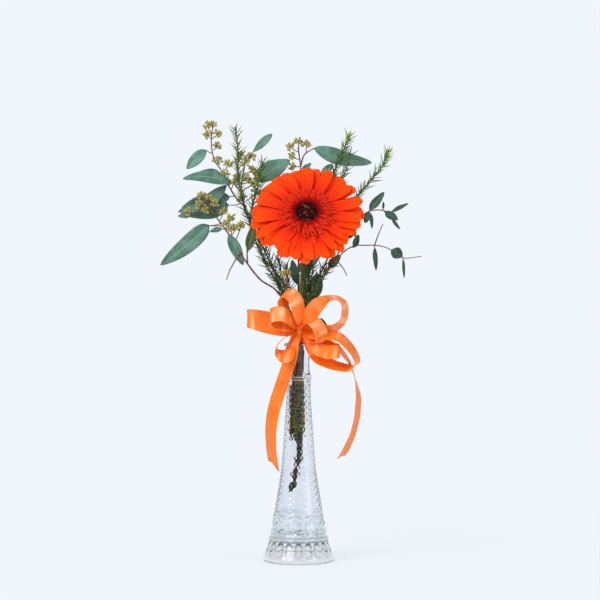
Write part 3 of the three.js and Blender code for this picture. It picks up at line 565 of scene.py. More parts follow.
# %% Glass and water
glass = Finish("pressed_glass")
ripple = glass.bump(glass.noise(260.0, 2.0) * 0.6 + glass.noise(900.0, 2.0) * 0.4, 0.12, 0.5)
# Painted shade: the tint darkens the glass colour along the flute arches, the ring lines and the relief's
# steep sides.
painted_shade_attribute = glass.tint()
painted_shade_lines = painted_shade_attribute.step(0.0, 1.0) * (0.7 + glass.noise(300.0) * 0.6)
# Painted highlight: where the tint is below 0, the shoulder's bright lines are drawn by a pale opaque surface
# instead of clear glass.
painted_highlight_line = (painted_shade_attribute * -1.0).step(0.3, 0.9) * 0.75
clear_tint = glass.mix((0.93, 0.945, 0.985, 1), (0.97, 0.975, 1.0, 1), glass.noise(120.0).step(0.3, 0.7))
tint = glass.mix(clear_tint, (0.03, 0.045, 0.06, 1), painted_shade_lines)
body = glass.add("ShaderNodeBsdfPrincipled", {}, {
    "Base Color": tint, "Roughness": 0.015, "IOR": 1.5, "Transmission Weight": 1.0, "Normal": ripple})
depth = glass.add("ShaderNodeVolumeAbsorption", {}, {"Color": (0.84, 0.88, 0.7, 1), "Density": 5.0})
# The pale opaque surface of the painted highlight lines.
edge = glass.add("ShaderNodeBsdfPrincipled", {}, {
    "Base Color": (0.86, 0.9, 0.94, 1), "Roughness": 0.2, "Normal": ripple})
glass_with_painted_highlight = glass.add("ShaderNodeMixShader", {}, {0: painted_highlight_line, 1: body, 2: edge})
glass.add("ShaderNodeOutputMaterial", {}, {"Surface": glass_with_painted_highlight, "Volume": depth})
vase = count_faces(glass_shape.build("vase_glass", glass.material))

# The water just reaches into the glass, so that no thin film of air is drawn between them.
WATER_LEVEL = 176.0
OVERLAP = 0.14
wet = Finish("still_water")
still = wet.bump(wet.noise(80.0, 1.0), 0.05, 0.2)
clear = wet.mix((0.97, 0.99, 0.98, 1), (0.99, 1, 1, 1), wet.noise(30.0))
WATER = wet.coat(base_color=clear, roughness=0.0, ior=1.333, transmission_weight=1.0, normal=still)
water_shape = Shape()
level = [(0.4, WATER_LEVEL - 0.9), (5.5, WATER_LEVEL - 0.8), (7.8, WATER_LEVEL - 0.4), (8.85, WATER_LEVEL)]
wall = [(r + OVERLAP, z) for r, z in spaced(INSIDE[4:], 4.0) if z < WATER_LEVEL - 1.5]
wall[-3:] = [(r, z - OVERLAP) for r, z in wall[-3:]]
rows = [circle(r, z, WATER_COLUMNS) for r, z in reversed(level + wall)]
water_shape.grid(rows, [[(0, 0)] * WATER_COLUMNS for _ in rows], closed=True)
water_shape.close(0, WATER_COLUMNS)
water = count_faces(water_shape.build("water_filling", WATER))

# %% [markdown]
# Petals, florets, buds and needles repeat, so Geometry Nodes lay them out. A recipe is a tree with named
# inputs for its sizes. It ends by making the copies real and giving them their finish, and the result
# becomes a plain mesh. A random number for each copy stays on the mesh as "tint", and the finish reads it.

# %% Recipes for what repeats
def label_of(word):
    """A socket's label: root_radius becomes Root radius."""
    return word.replace("_", " ").capitalize()


class Recipe(Sheet):
    """A Geometry Nodes tree with named number inputs."""

    def __init__(self, name, **sizes):
        super().__init__(bpy.data.node_groups.new(name, "GeometryNodeTree"))
        self.socket("Geometry", "Geometry")
        for word, size in sizes.items():
            self.socket(label_of(word), "Int" if isinstance(size, int) else "Float").default_value = size
        self.socket("Kinds", "Collection")
        self.socket("Finish", "Material")
        self.socket("Geometry", "Geometry", "OUTPUT")
        self.inputs = self.tree.nodes.new("NodeGroupInput").outputs

    def socket(self, label, kind, side="INPUT"):
        return self.tree.interface.new_socket(label, in_out=side, socket_type="NodeSocket" + kind)

    def size(self, label):
        """One of the recipe's own inputs."""
        return Value(self, self.inputs[label])

    def random(self, low, high, salt):
        """A number for each copy, the same in every run."""
        return self.add("FunctionNodeRandomValue", {"data_type": "FLOAT"}, {
            2: low, 3: high, "Seed": self.size("Seed") + salt}, out=1)

    def points_round(self, amount, angle, radius, height):
        """So many points round the upright axis, each at its own angle, radius and height."""
        cosine, sine = angle.circle()
        spot = self.vector(cosine * radius * MM, sine * radius * MM, height * MM)
        return self.add("GeometryNodePoints", {}, {"Count": amount, "Position": spot})

    def repeated(self, points, amount):
        """Each point so many times, and the number of each copy."""
        many = self.add("GeometryNodeDuplicateElements", {"domain": "POINT"}, {
            "Geometry": points, "Amount": amount})
        return many, many.output("Duplicate Index")

    def upright_along(self, direction):
        """The turn that brings +Z to a direction."""
        return self.add("FunctionNodeAlignRotationToVector", {"axis": "Z"}, {"Vector": direction})

    def copies(self, points, turn, scale):
        """One of the kinds on each point, made real, with its finish and its tint."""
        kinds = self.add("GeometryNodeCollectionInfo", {}, {
            "Collection": self.size("Kinds"), "Separate Children": True, "Reset Children": True})
        placed = self.add("GeometryNodeInstanceOnPoints", {}, {
            "Points": points, "Instance": kinds, "Pick Instance": True, "Rotation": turn, "Scale": scale})
        tinted = self.add("GeometryNodeStoreNamedAttribute", {"domain": "INSTANCE"}, {
            "Geometry": placed, "Name": "tint", "Value": self.random(0.0, 1.0, 97)})
        real = self.add("GeometryNodeRealizeInstances", {}, {0: tinted})
        done = self.add("GeometryNodeSetMaterial", {}, {"Geometry": real, "Material": self.size("Finish")})
        end = self.tree.nodes.new("NodeGroupOutput")
        self.tree.links.new(done.socket, end.inputs[0])

    def cook(self, name, kinds, finish, on=None, **sizes):
        """The plain mesh that the recipe makes from these kinds and sizes, on a base mesh or curve."""
        larder = bpy.data.collections.new(name + "_kinds")
        for kind in kinds:
            larder.objects.link(kind)
        base = on or in_scene(name, bpy.data.meshes.new(name))
        modifier = base.modifiers.new("recipe", "NODES")
        modifier.node_group = self.tree
        values = {"Kinds": larder, "Finish": finish, **{label_of(word): size for word, size in sizes.items()}}
        for item in self.tree.interface.items_tree:
            if item.in_out == "INPUT" and item.name in values:
                modifier[item.identifier] = values[item.name]
        mesh = evaluated_mesh(base)
        for finished_with in (base, *kinds):
            bpy.data.objects.remove(finished_with)
        bpy.data.collections.remove(larder)
        mesh.name = name
        mesh.shade_smooth()
        return in_scene(name, mesh)


# %% [markdown]
# A gerbera is hundreds of small flowers on one head. The long outer ones are the petals that we see. They
# stand in a few turned layers. One recipe lays out any such layers: the copy's number gives its layer and
# its place in the ring, and small random turns keep it from looking printed. Petals low on the face hang
# more loosely.

# %% Recipe: layers of petals round a head
# The direction on the face in which a petal or two stay a little shorter.
NOOK = (0.84, -0.545)
petal_layers = Recipe(
    "petal_layers", per_layer=12, layers=1, root_radius=10.0, scale_step=0.0, height=-6.0, height_step=0.0,
    pitch=0.0, pitch_step=0.0, jitter=0.05, loose=0.2, seed=1)
size, random_in = petal_layers.size, petal_layers.random
number = petal_layers.add("GeometryNodeInputIndex")
layer = ((number + 0.001) / size("Per layer")).floor()
in_ring = number - layer * size("Per layer")
share = (in_ring + layer * 0.34 + random_in(-1.0, 1.0, 1) * size("Jitter") * 3.0) / size("Per layer")
angle = share * (2 * math.pi)
cosine, sine = angle.circle()
low_side = (0.15 - sine).at_least(0.0)
height = size("Height") + layer * size("Height step")
points = petal_layers.points_round(size("Per layer") * size("Layers"), angle, size("Root radius"), height)
looseness = size("Loose") * (low_side * 1.6 + 0.3)
roll_turn = random_in(-1.0, 1.0, 2) * looseness
pitch = size("Pitch") + layer * size("Pitch step") + random_in(-1.0, 0.5, 3) * looseness * 0.3
nook = (cosine * NOOK[0] + sine * NOOK[1]).at_least(0.0) ** 14.0
length = (1.0 - layer * size("Scale step")) * (cosine * 0.035 + sine * 0.035 + 0.975 - nook * 0.12)
length = length + random_in(-0.024, 0.024, 4)
petal_layers.copies(points, petal_layers.vector(roll_turn, pitch, angle),
                    petal_layers.vector(length, random_in(0.88, 1.1, 5), random_in(0.8, 1.25, 6)))
print("petal layers recipe:", len(petal_layers.tree.nodes), "nodes")

# %% [markdown]
# A petal is a long strap with a narrow foot, a blunt tip with small teeth, and two or three shallow grooves
# that run its whole length. Four slightly different petals are enough for the eye. Its V coordinate runs
# from foot to tip, so the finish can go from deep red to orange along it, and U runs across for the fine
# veins.

# %% Petals
def strap(name, length, half_width, thickness, wave, droop, groove, rows=14, columns=9, tip_rows=0.14):
    """A strap petal along +X from the origin, bending down towards its tip."""
    def place_at(t, s):
        grow = min(1.0, 0.2 + 1.1 * t**0.58)
        blunt = max(0.0, (t - (1 - tip_rows)) / tip_rows)
        half = half_width * grow * math.sqrt(1 - 0.8 * blunt**2)
        across = 2 * s - 1
        back = blunt**2 * half_width * (0.2 * across**2 + 0.1 * math.cos(3 * math.pi * across))
        lift = groove * math.cos(3 * math.pi * across) * math.sin(math.pi * min(1, t * 1.3)) ** 0.5
        cup = 0.32 * half * across**2 * (1 - 0.5 * t)
        sway = wave * math.sin(2 * math.pi * (0.9 * t + 0.2)) * t
        twist = 0.3 * wave * across * math.sin(math.pi * 1.4 * t)
        height = 1.5 * math.sin(math.pi * t**0.8) - droop * t**2.2 + cup + lift + twist
        return Vector((length * t - back, half * across + 0.6 * sway, height))

    shape = Shape()
    shape.sheet(place_at, [1 - (1 - at) ** 1.5 for at in span(rows)], span(columns - 1))
    return shape.build(name, None, thickness)


def velvet(name, foot, middle, outer, tip, sheen, unlike=0.0):
    """The finish of petals: four colours along them, fine veins across and a soft sheen."""
    finish = Finish(name)
    across, along = finish.uv()
    cloud = finish.noise(240.0, 3.0)
    tint_value = finish.tint()
    where = along + (cloud - 0.5) * 0.12 + (tint_value - 0.5) * 0.1
    base = finish.ramp(where, (0.0, foot), (0.3, middle), (0.6, outer), (0.97, tip))
    veins = across.wave(5.5) ** 2.0
    fine = across.wave(17.0)
    streaked = finish.mix(base, finish.ramp(where, (0.0, foot), (0.7, middle), (1.0, outer)),
                          (veins * 0.5 + fine * 0.15) * (0.5 + tint_value * 0.8))
    streaked = finish.mix(streaked, rgb(150, 4, 4), (1 - tint_value).step(0.6, 0.9) * (unlike * 0.6))
    # Painted highlight: copies with a high tint turn pinkish towards their tips.
    painted_pink_highlight = tint_value.step(0.5, 0.85) * along.step(0.25, 1.0) * unlike
    streaked = finish.mix(streaked, rgb(255, 112, 76), painted_pink_highlight)
    rise = finish.bump(veins * 0.7 + fine * 0.3 + finish.noise(1500.0) * 0.35, 0.22, 0.8)
    return finish.coat(
        base_color=streaked, roughness=0.55 + cloud * 0.15, normal=rise, sheen_weight=sheen,
        sheen_roughness=0.4, sheen_tint=rgb(255, 140, 80), specular_ior_level=0.12,
        subsurface_weight=0.12, subsurface_radius=(0.004, 0.0012, 0.0006), subsurface_scale=1.0)


PETAL = velvet("petal_velvet", rgb(170, 4, 6), rgb(240, 24, 3), rgb(254, 60, 0), rgb(255, 84, 2), 0.05)
BLOOM_CENTRE, BLOOM_TILT = Vector((8, -9.9, 347.6)), math.radians(32)
BLOOM_FRAME = Matrix((
    (1, 0, 0, BLOOM_CENTRE.x * MM),
    (0, math.sin(BLOOM_TILT), -math.cos(BLOOM_TILT), BLOOM_CENTRE.y * MM),
    (0, math.cos(BLOOM_TILT), math.sin(BLOOM_TILT), BLOOM_CENTRE.z * MM),
    (0, 0, 0, 1)))
kinds = [strap(f"petal_{i}", 48.5, 6.0 + 0.4 * (i % 2), 0.45, 1.0 + 0.6 * i, 1.6 + 0.7 * i, 0.42)
         for i in range(4)]
petals = petal_layers.cook(
    "gerbera_petals", kinds, PETAL, per_layer=15, layers=3, root_radius=10.2, scale_step=0.03, height=-6.6,
    height_step=1.5, pitch_step=-0.03, loose=0.24, seed=11)
petals.data.transform(BLOOM_FRAME)
count_faces(petals)

# %% [markdown]
# Inside the petals stand rings of short flowers that never opened far: thin curled strips, dense as a
# brush, and redder towards the middle. The same recipe makes them from narrow straps that stand up instead
# of lying back.

# %% Inner florets
FLORET = velvet("floret_velvet", rgb(140, 0, 6), rgb(214, 4, 5), rgb(242, 18, 4), rgb(255, 74, 30), 0.06, 0.9)
DARK_FLORET = velvet("dark_floret_velvet", rgb(46, 0, 6), rgb(104, 0, 10), rgb(156, 2, 12), rgb(206, 12, 14),
                     0.06, 0.4)
FLORET_RINGS = [("outer", 62, 21.5, 0.8, -3.0, -0.15, FLORET), ("middle", 56, 15.5, 0.7, -2.0, -0.3, FLORET),
                ("inner", 50, 9.0, 0.75, -0.8, -0.42, DARK_FLORET)]
florets = []
for i, (label, per_layer, length, half, height, pitch_at, dress) in enumerate(FLORET_RINGS):
    kinds = [strap(f"floret_{label}_{k}", length, half + 0.15 * k, 0.35, 0.8, 1.2 + k, 0.0, 7, 4, 0.3)
             for k in range(3)]
    florets.append(petal_layers.cook(
        f"florets_{label}", kinds, dress, per_layer=per_layer, layers=2, root_radius=9.6,
        scale_step=0.12, height=height, height_step=0.9, pitch=pitch_at, pitch_step=-0.09,
        jitter=0.12, loose=0.35, seed=40 + i))
inner_florets = joined("gerbera_inner_florets_fine", florets)
inner_florets.data.transform(BLOOM_FRAME)
count_faces(inner_florets)

# %% [markdown]
# The dark disc holds closed florets set by the golden angle, the turn that packs seeds evenly. The recipe
# puts copy n at a distance that grows with the root of n, so every copy gets the same room.

# %% The disc
golden = Recipe("golden_disc", count=150, radius=10.0, dome=3.0, fall=0.026, seed=1)
size, random_in = golden.size, golden.random
number = golden.add("GeometryNodeInputIndex")
share = ((number + 0.5) / size("Count")) ** 0.5
angle = number * GOLDEN_ANGLE
out = share * size("Radius")
points = golden.points_round(size("Count"), angle, out, size("Dome") - out * out * size("Fall"))
turn = golden.vector(0.0, share * 0.55 + random_in(-0.15, 0.15, 2), angle)
even = random_in(0.75, 1.25, 3)
golden.copies(points, turn, golden.vector(even, even, random_in(0.7, 1.3, 4)))


def bud(name, profile, finish=None, sides=7):
    """A small turned body along +Z with its foot at the origin. The profile gives radius and height."""
    shape = Shape()
    top = max(z for _, z in profile)
    uvs = [[(k / sides, z / top) for k in range(sides)] for _, z in profile]
    shape.grid([circle(r, z, sides) for r, z in profile], uvs, closed=True)
    shape.close(0, sides)
    return shape.build(name, finish)


speckle = Finish("disc_maroon")
along = speckle.uv()[1]
spots = speckle.tint()
dark = speckle.ramp(along + (speckle.noise(500.0) - 0.5) * 0.3,
                    (0.0, rgb(16, 0, 2)), (0.6, rgb(62, 6, 6)), (1.0, rgb(108, 22, 14)))
patches = speckle.noise(270.0, 2.0)
pale = speckle.mix(dark, rgb(206, 160, 138), patches.step(0.57, 0.64) * (spots * 0.6 + 0.25))
DISC = speckle.coat(base_color=pale, roughness=0.62, normal=speckle.bump(speckle.noise(1400.0), 0.15),
                    specular_ior_level=0.12)
DOME = [(6.6, -4.6), (9.4, -4.2), (9.6, -1.6), (9.0, -0.3), (7.0, 0.6), (4.0, 1.3), (1.5, 1.6)]
dome = bud("dome", DOME, DISC, 32)
SEED_FOOT = [(0.42, -0.6), (0.52, 0.8)]
seeds = [bud(f"seed_{k}", [*SEED_FOOT, (0.64 + 0.06 * k, 1.7), (0.36, 2.5), (0.1, 2.9 + 0.2 * k)])
         for k in range(3)]
disc_florets = golden.cook("disc_florets", seeds, DISC, count=130, radius=9.3, dome=1.2, fall=0.021, seed=7)
disc = joined("gerbera_disc_fine", [dome, disc_florets])
disc.data.transform(BLOOM_FRAME)
count_faces(disc)

# %% [markdown]
# The bloom sits on a bare, faintly ribbed stalk. Under the petals a green cup carries small pointed bracts,
# which show from the side and from behind. The stalk is a tube along the same curve as its solid.

# %% Stalk, cup and bracts
stalky = Finish("stalk_green")
sideways, _, height = stalky.split(stalky.place())
blush = (stalky.noise(90.0, 3.0) * 0.5 + 0.5) * (sideways * (-260.0) + 0.9).step(0.0, 1.6)
ribs = stalky.uv()[0].wave(9.0)
green = stalky.mix(rgb(92, 106, 34), rgb(136, 142, 60), stalky.noise(300.0) * 0.6 + ribs * 0.4)
dry = stalky.mix(green, rgb(112, 56, 34), blush * 0.85)
# Below 200 mm the stalk takes much darker colours, blending into its upper colours by 235 mm.
dark_low_stalk = stalky.mix(rgb(30, 30, 4), rgb(84, 86, 14), stalky.noise(300.0, 2.0).step(0.35, 0.65))
STALK = stalky.coat(
    base_color=stalky.mix(dark_low_stalk, dry, height.step(0.2, 0.235)), roughness=0.55,
    normal=stalky.bump(ribs * 0.6 + stalky.noise(2200.0) * 0.4, 0.18, 0.7), sheen_weight=0.15,
    subsurface_weight=0.05, subsurface_radius=(0.002, 0.003, 0.001), subsurface_scale=1.0)

SCAPE = [(0.4, -0.4, 104), (0.6, -0.6, 190), (1.2, -0.6, 236), (3.2, 2.5, 268), (5.2, 7.5, 300),
         (7, 10.4, 322), (7.9, 8.4, 335), (8, 3.8, 341.4)]
CUP = [(2.6, -17.8), (3.2, -16.6), (4.6, -14.6), (6.6, -12.6), (8.6, -11.2), (11.4, -9.4), (12.3, -8.2),
       (11, -7.2), (7, -7.0)]


def stalk_radius(t):
    """The stalk's radius from its cut end to the cup, where it swells."""
    return 2.0 + 0.6 * min(1, t * 9) + 0.06 * math.sin(9 * t) + 4 * max(0, t - 0.93)


stalk_shape = Shape()
stalk_shape.tube(even_path(SCAPE, 3.0), stalk_radius, 18)
stalk = stalk_shape.build("stalk", STALK)
cup = bud("cup", CUP, STALK, 36)
bracts = []
BRACT_ROWS = [("upper", 21, 9.5, 9.6, -10.6, -0.1), ("middle", 17, 9.0, 6.8, -12.8, -0.35),
              ("lower", 12, 7.0, 4.4, -15.0, -0.6)]
for label, amount, length, foot_radius, foot_height, pitch_at in BRACT_ROWS:
    kinds = [strap(f"bract_{label}_{k}", length, 1.5, 0.45, 0.2, 0.6, 0.0, 7, 5, 0.75) for k in range(2)]
    bracts.append(petal_layers.cook(
        f"bracts_{label}", kinds, STALK, per_layer=amount, root_radius=foot_radius, height=foot_height,
        pitch=pitch_at, jitter=0.06, loose=0.12, seed=60 + amount))
for piece in [cup, *bracts]:
    piece.data.transform(BLOOM_FRAME)
scape = count_faces(joined("gerbera_stalk", [stalk, cup, *bracts]))

# %% [markdown]
# The filler foliage is of two kinds. Seeded eucalyptus has waxy grey-green leaves and clusters of
# club-shaped buds; the other kind is a heath with short slim needles. Both are described by their stems,
# the shoots that leave them, and the place of each leaf and cluster. In the neck of the vase every stem has
# its own slot.

# %% Stems in the neck
CROWDED = {0: (3.4, 4.4), 1: (2.4, 6.2), 2: (0.6, 7.4), 3: (-1.0, 6.0), 4: (-3.1, 5.2), 5: (-4.6, 3.4),
           6: (-5.2, 0.6), 8: (-3.2, -5.0), 11: (1.8, -5.4)}
LIP_HEIGHT = 200


def slot_in_neck(hour, height, radius=6.2):
    """The stems stand round the neck like hours, and below the lip they crowd to its left."""
    if height < LIP_HEIGHT:
        return (*CROWDED[hour], height)
    angle = math.pi * hour / 6
    return (radius * math.cos(angle), radius * math.sin(angle), height)


def rooted(hour, foot, places):
    """A stem that comes up through its slot in the neck."""
    return [slot_in_neck(hour, foot, 5.5), slot_in_neck(hour, 190), slot_in_neck(hour, 236), *places]


def nearest(place, paths):
    """Path and index of the sampled point nearest to a place."""
    points = ((path, i) for path in paths for i in range(len(path)))
    return min(points, key=lambda pick: (pick[0][pick[1]] - place).length)


def root_for(place, paths):
    """Where a leaf stalk leaves the stem: below the nearest point by half its distance."""
    path, i = nearest(place, paths)
    drop = (path[i] - place).length * 0.5
    while i > 0 and drop > 0:
        drop -= (path[i] - path[i - 1]).length
        i -= 1
    return path[i]


def leaf(base, tip, width, **bend):
    """One leaf's place and size, and how it bends."""
    return {"base": base, "tip": tip, "width": width, **bend}


SPRAYS = {
    "eucalyptus_left": dict(
        stem=[(-3.6, 3.4, 75), (-2.8, 3.6, 84), (-0.8, 4.2, 97), (0.8, 4.8, 110), (0.4, 5.0, 140),
              slot_in_neck(4, 190), slot_in_neck(4, 236), (-8, 15, 262), (-20, 20, 285), (-36, 20, 304),
              (-43, 19, 320), (-48, 18, 335), (-51, 18, 345), (-54.5, 19, 356), (-57, 21, 367),
              (-58, 22, 376), (-56, 24, 389), (-54, 26, 401), (-53, 27, 408)],
        knots=(101, 86), radius=1.25,
        shoots=[[(-54.5, 19, 355), (-62, 21, 362.5), (-70, 23, 375), (-79, 25, 393), (-85, 26, 402),
                 (-88.5, 28, 417), (-87.5, 29, 434)]],
        leaves=[leaf((-94, 26, 412.5), (-113, 23, 393.5), 12.5, arch=2),
                leaf((-69, 21, 379.5), (-116.5, 17, 383.5), 13, arch=3, sway=3, broad=0.7),
                leaf((-73, 27, 377.5), (-122, 26, 350.5), 15, up=(0.1, -0.8, 0.6), sway=-7),
                leaf((-71, 26, 357), (-120, 27, 350.5), 26, sway=1.5, up=(0, -1, -0.15)),
                leaf((-46, 28, 411), (-27, 30, 429.5), 8.5, broad=1.05),
                leaf((-45, 30, 382), (-9, 34, 403), 20, arch=2),
                leaf((-40, 26, 318), (-22, 38, 345), 16, up=(-0.2, 1, 0.3), arch=2),
                leaf((-3.0, 1.6, 80), (-6.6, 0.6, 68), 5.5, tint=-1.0),
                leaf((-70, 28, 366), (-98, 38, 359), 14, up=(-0.4, 1, 0.3), arch=3),
                leaf((-80, 28, 390), (-106, 38, 388), 9, up=(-0.3, 1, 0.3), arch=2)],
        umbels=[(-87, 29, 438), (-82, 28, 429), (-92, 28, 428), (-83, 28, 417), (-82, 27, 402),
                (-71, 24, 398), (-74, 22, 388), (-66, 23, 379), (-58, 27, 408), (-48, 27, 406),
                (-47, 25, 392), (-47, 22, 378), (-92, 27, 437), (-54, 24, 400), (-42, 25, 386),
                (-62, 22, 384), (-53, 22, 384), (-57, 20, 364), (-43, 22, 370)]),
    "eucalyptus_low": dict(
        stem=rooted(8, 128, [(-11, -7.5, 254), (-23, -8.5, 271), (-38, -8, 281), (-51, -4, 297),
                             (-58, 1, 308), (-66, 6, 321), (-76, 10, 335), (-82, 12, 343), (-91, 15, 355),
                             (-95, 16, 362)]),
        radius=1.15,
        shoots=[[(-51, -4, 297), (-51.5, -2, 309), (-51.5, 0, 320)],
                [(-10, -7.3, 252), (-12, -9, 270), (-12, -10, 286)],
                [(-58, 1, 308), (-63, 0, 301), (-69, 0, 290), (-72, 0, 281)],
                [(-90, 14.5, 354), (-100, 13, 351), (-108, 12, 347)]],
        leaves=[leaf((-90.5, 12, 336), (-138.5, 5, 296), 18.5, arch=2, sway=-2, broad=0.64),
                leaf((-77, 8, 332.5), (-89, 6, 329.5), 5.5),
                leaf((-70, 6, 326), (-55.5, 1, 296), 11.5, arch=2),
                leaf((-50.5, -1, 310), (-44.5, -1, 337), 9.5, tint=-1.0),
                leaf((-109, 11, 346), (-121, 8, 345), 6),
                leaf((-90, 17, 336), (-116, 26, 317), 12, up=(-0.3, 1, 0.3), arch=2)],
        umbels=[(-98, 17, 366), (-90, 17, 363), (-100, 14, 357), (-76, 11, 349), (-68, 9, 343), (-63, 8, 333),
                (-73, 6, 337), (-111, 12, 349), (-12, -11, 287), (-84, 10, 358), (-93, 13, 352),
                (-67, 5, 332), (-58, 4, 335)]),
    "eucalyptus_top": dict(
        stem=rooted(3, 132, [(0, 14, 262), (0, 23, 300), (1, 30, 340), (2, 34.5, 375), (2, 36, 396),
                             (1, 37, 405), (-0.5, 38, 416)]),
        radius=1.2,
        shoots=[[(2, 34, 372), (12, 34, 380), (24, 34, 387)],
                [(2, 36, 397), (6, 37, 409), (16, 38, 415.5)]],
        leaves=[leaf((15.5, 38, 415.5), (74.5, 42, 401), 16.5, arch=2, sway=3.5, broad=0.75),
                leaf((24, 34, 387), (34, 34.5, 399), 9), leaf((3, 35, 391), (12.5, 34, 400), 6),
                leaf((-1.5, 16, 277), (-6.5, 12, 301), 9),
                leaf((-2, 28, 318), (-26, 44, 334), 16, up=(-0.3, 1, 0.4), arch=3),
                leaf((4, 34, 342), (28, 47, 362), 16, up=(0.3, 1, 0.4), arch=3),
                leaf((1, 24, 290), (22, 42, 306), 14, up=(0.3, 1, 0.4), arch=3)],
        umbels=[(-8, 37, 417), (0, 38, 422), (8, 38, 419), (-6, 38, 407), (-6, 37, 397)]),
    "needle_sprig_tall": dict(
        stem=rooted(5, 126, [(-13, 9, 262), (-25, 13, 290), (-38, 12, 318), (-49, 10, 340), (-57, 11, 362),
                             (-61, 14, 388), (-61, 17, 411), (-63, 19, 428), (-64.5, 20, 436)]),
        radius=0.95, bare=200, needled=[0],
        shoots=[[(-48.5, 10, 339), (-45, 15, 362), (-39.5, 20, 382), (-37.5, 22, 396), (-37, 23.5, 404)]]),
    "needle_sprig_low": dict(
        stem=rooted(6, 120, [(-13, 2, 260), (-20, 4, 275), (-30, 5, 292), (-37, 6, 308), (-42, 6, 319)]),
        radius=0.95, bare=142, needled=[0, 1, 2],
        shoots=[[(-13, 2, 260), (-21, 1, 283), (-29, 1, 303), (-34, 1, 316)],
                [(-11, 2, 256), (-9, -2, 270), (-11, -4, 285), (-14, -4, 299)],
                [(-12, 1.6, 258), (-15, 0, 278), (-18, 0, 290), (-21, 1, 305)]]),
    "needle_sprig_right": dict(
        stem=rooted(2, 130, [(6, 12, 262), (13, 18, 300), (20, 22, 335), (29, 26, 366), (36, 29, 390),
                             (41, 29, 404), (46, 28, 414), (50, 28, 424), (52, 28, 430)]),
        radius=0.95, bare=236, needled=[0],
        shoots=[[(28, 26, 362), (39, 25, 377), (46, 25, 388), (50, 25, 400), (53, 25, 412)]]),
    "needle_sprig_far": dict(
        stem=rooted(1, 124, [(12, 10, 262), (27, 15, 298), (45, 18, 335), (60.5, 20, 367), (68, 20, 376),
                             (76, 19, 385), (85, 17, 397), (89, 16, 406), (90.5, 16, 413)]),
        radius=0.95, bare=236),
    "needle_sprig_fan": dict(
        stem=rooted(11, 122, [(9, -6, 252), (14, -7.5, 268), (20, -8, 284), (26, -8, 296)]),
        radius=0.95, bare=134, needled=[0, 2, 3, 4],
        offcuts=[[(0.6, -5.4, 126), (1.0, -6, 150), (0.4, -6, 182)],
                 [(3.4, -4.4, 132), (3.2, -5, 155), (3.6, -5, 180)],
                 [(-2.2, -4.8, 120), (-1.6, -5.4, 150), (-2.4, -5.4, 180)],
                 [(-2.2, -6.2, 121), (-3.6, -6.4, 134), (-3.8, -6.0, 152)]],
        shoots=[[(14, -7.5, 268), (19, -9, 279), (28, -10, 290), (35, -10, 298)],
                [(20, -8, 284), (27, -9, 296), (37, -9, 299.5), (44, -9, 293), (48, -9, 285)],
                [(9, -6, 252), (12, -3, 266), (13, 0, 282), (15, 2, 297)],
                [(7, -5, 246), (8, -5, 262), (9.5, -4, 285), (10, -3, 302)],
                [(5.5, -5, 242), (5.5, -6, 262), (7.5, -3, 288), (8, -2, 303)]]),
    "gum_twig": dict(
        stem=rooted(0, 136, [(12.5, 2, 258), (24, 4, 281), (36, 4, 301), (50, 4, 325), (63, 3, 344),
                             (72, 2, 350), (84.6, 0, 350.5), (91, -0.5, 346.5)]),
        radius=0.95,
        shoots=[[(34, 4, 298), (46.5, 2, 310), (56, 1, 315), (65, 0, 315.5), (76, 0, 315.5), (85, -1, 314),
                 (93, -1, 310.5), (102, -1, 305), (107, -1, 302.5), (123, -1, 304.5)],
                [(76, 0, 315.5), (80, 0, 327), (84.5, 0, 337)]],
        leaves=[leaf((71, 2, 351), (85.5, 1, 368.5), 8.5), leaf((70, 1.5, 348.5), (66.5, 0, 338), 7.5),
                leaf((72.5, 1, 347), (73.5, 0, 332.5), 3.6), leaf((84.6, 0, 352), (84.8, -1, 359), 2.4),
                leaf((86.5, -1, 348.5), (99, -2, 341), 8.5), leaf((93, 0, 349), (109.5, 1, 357.5), 4.4),
                leaf((93.5, -2, 341), (101, -4, 331.5), 3.4), leaf((76, 0, 313), (77.5, -1, 290.5), 4.8),
                leaf((92.5, -1, 311), (103.5, -3, 304), 11.8, broad=0.95),
                leaf((104.5, -1, 301.5), (105.5, -2, 283), 2.8),
                leaf((55.5, 2, 313.5), (60, 0, 326), 6.5, tint=1.4),
                leaf((13.5, 3, 260), (20, 3, 287), 15, broad=0.95),
                leaf((22, -2, 242.5), (28.5, -4, 234.5), 2.6),
                leaf((30, 7, 293), (42, 17, 306), 9, up=(0.3, 1, 0.4)),
                leaf((50, 8, 322), (55, 19, 338), 8, up=(0.3, 1, 0.4))],
        umbels=[(54, 5, 329)]),
}
print(len(SPRAYS), "sprays with", sum(len(s.get("leaves", [])) for s in SPRAYS.values()), "leaves")

# %% [markdown]
# A leaf is a grid of points bent along its rib. Its edge waves a little and its blade folds slightly at the
# rib, which is enough to make light break over it. The finish reads U across and V along the blade: a pale
# rib, side veins that leave it at a slant, and a waxy bloom that lies in clouds.

# %% Leaves
def blade(shape, base, tip, width, up=(0, -1, 0.25), arch=0.0, sway=0.0, broad=0.8, tint=0.5, seed=0):
    """One leaf from base to tip, with an arched rib and a rounded outline."""
    start, end = Vector(base), Vector(tip)
    along = end - start
    side = along.cross(Vector(up)).normalized()
    face = side.cross(along).normalized()

    def place_at(t, s):
        bow = 4 * t * (1 - t)
        rib = start + along * t + face * (arch * bow - 0.02 * along.length * t**3) + side * (sway * bow)
        half = max(0.3, 0.5 * width * math.sin(math.pi * t**broad) ** (0.8 - 0.24 * t)) if t < 1 else 0.4
        across = 2 * s - 1
        edge = 0.07 * width * math.sin(9 * t + 2.2 * seed + across) * abs(across) ** 2
        fold = 0.8 * (half * 2 / width) * (abs(across) ** 1.3) - 0.16 * bell(across, 0.16)
        return rib + side * (half * across) + face * (fold + edge)

    shape.sheet(place_at, span(18), span(8), tint)


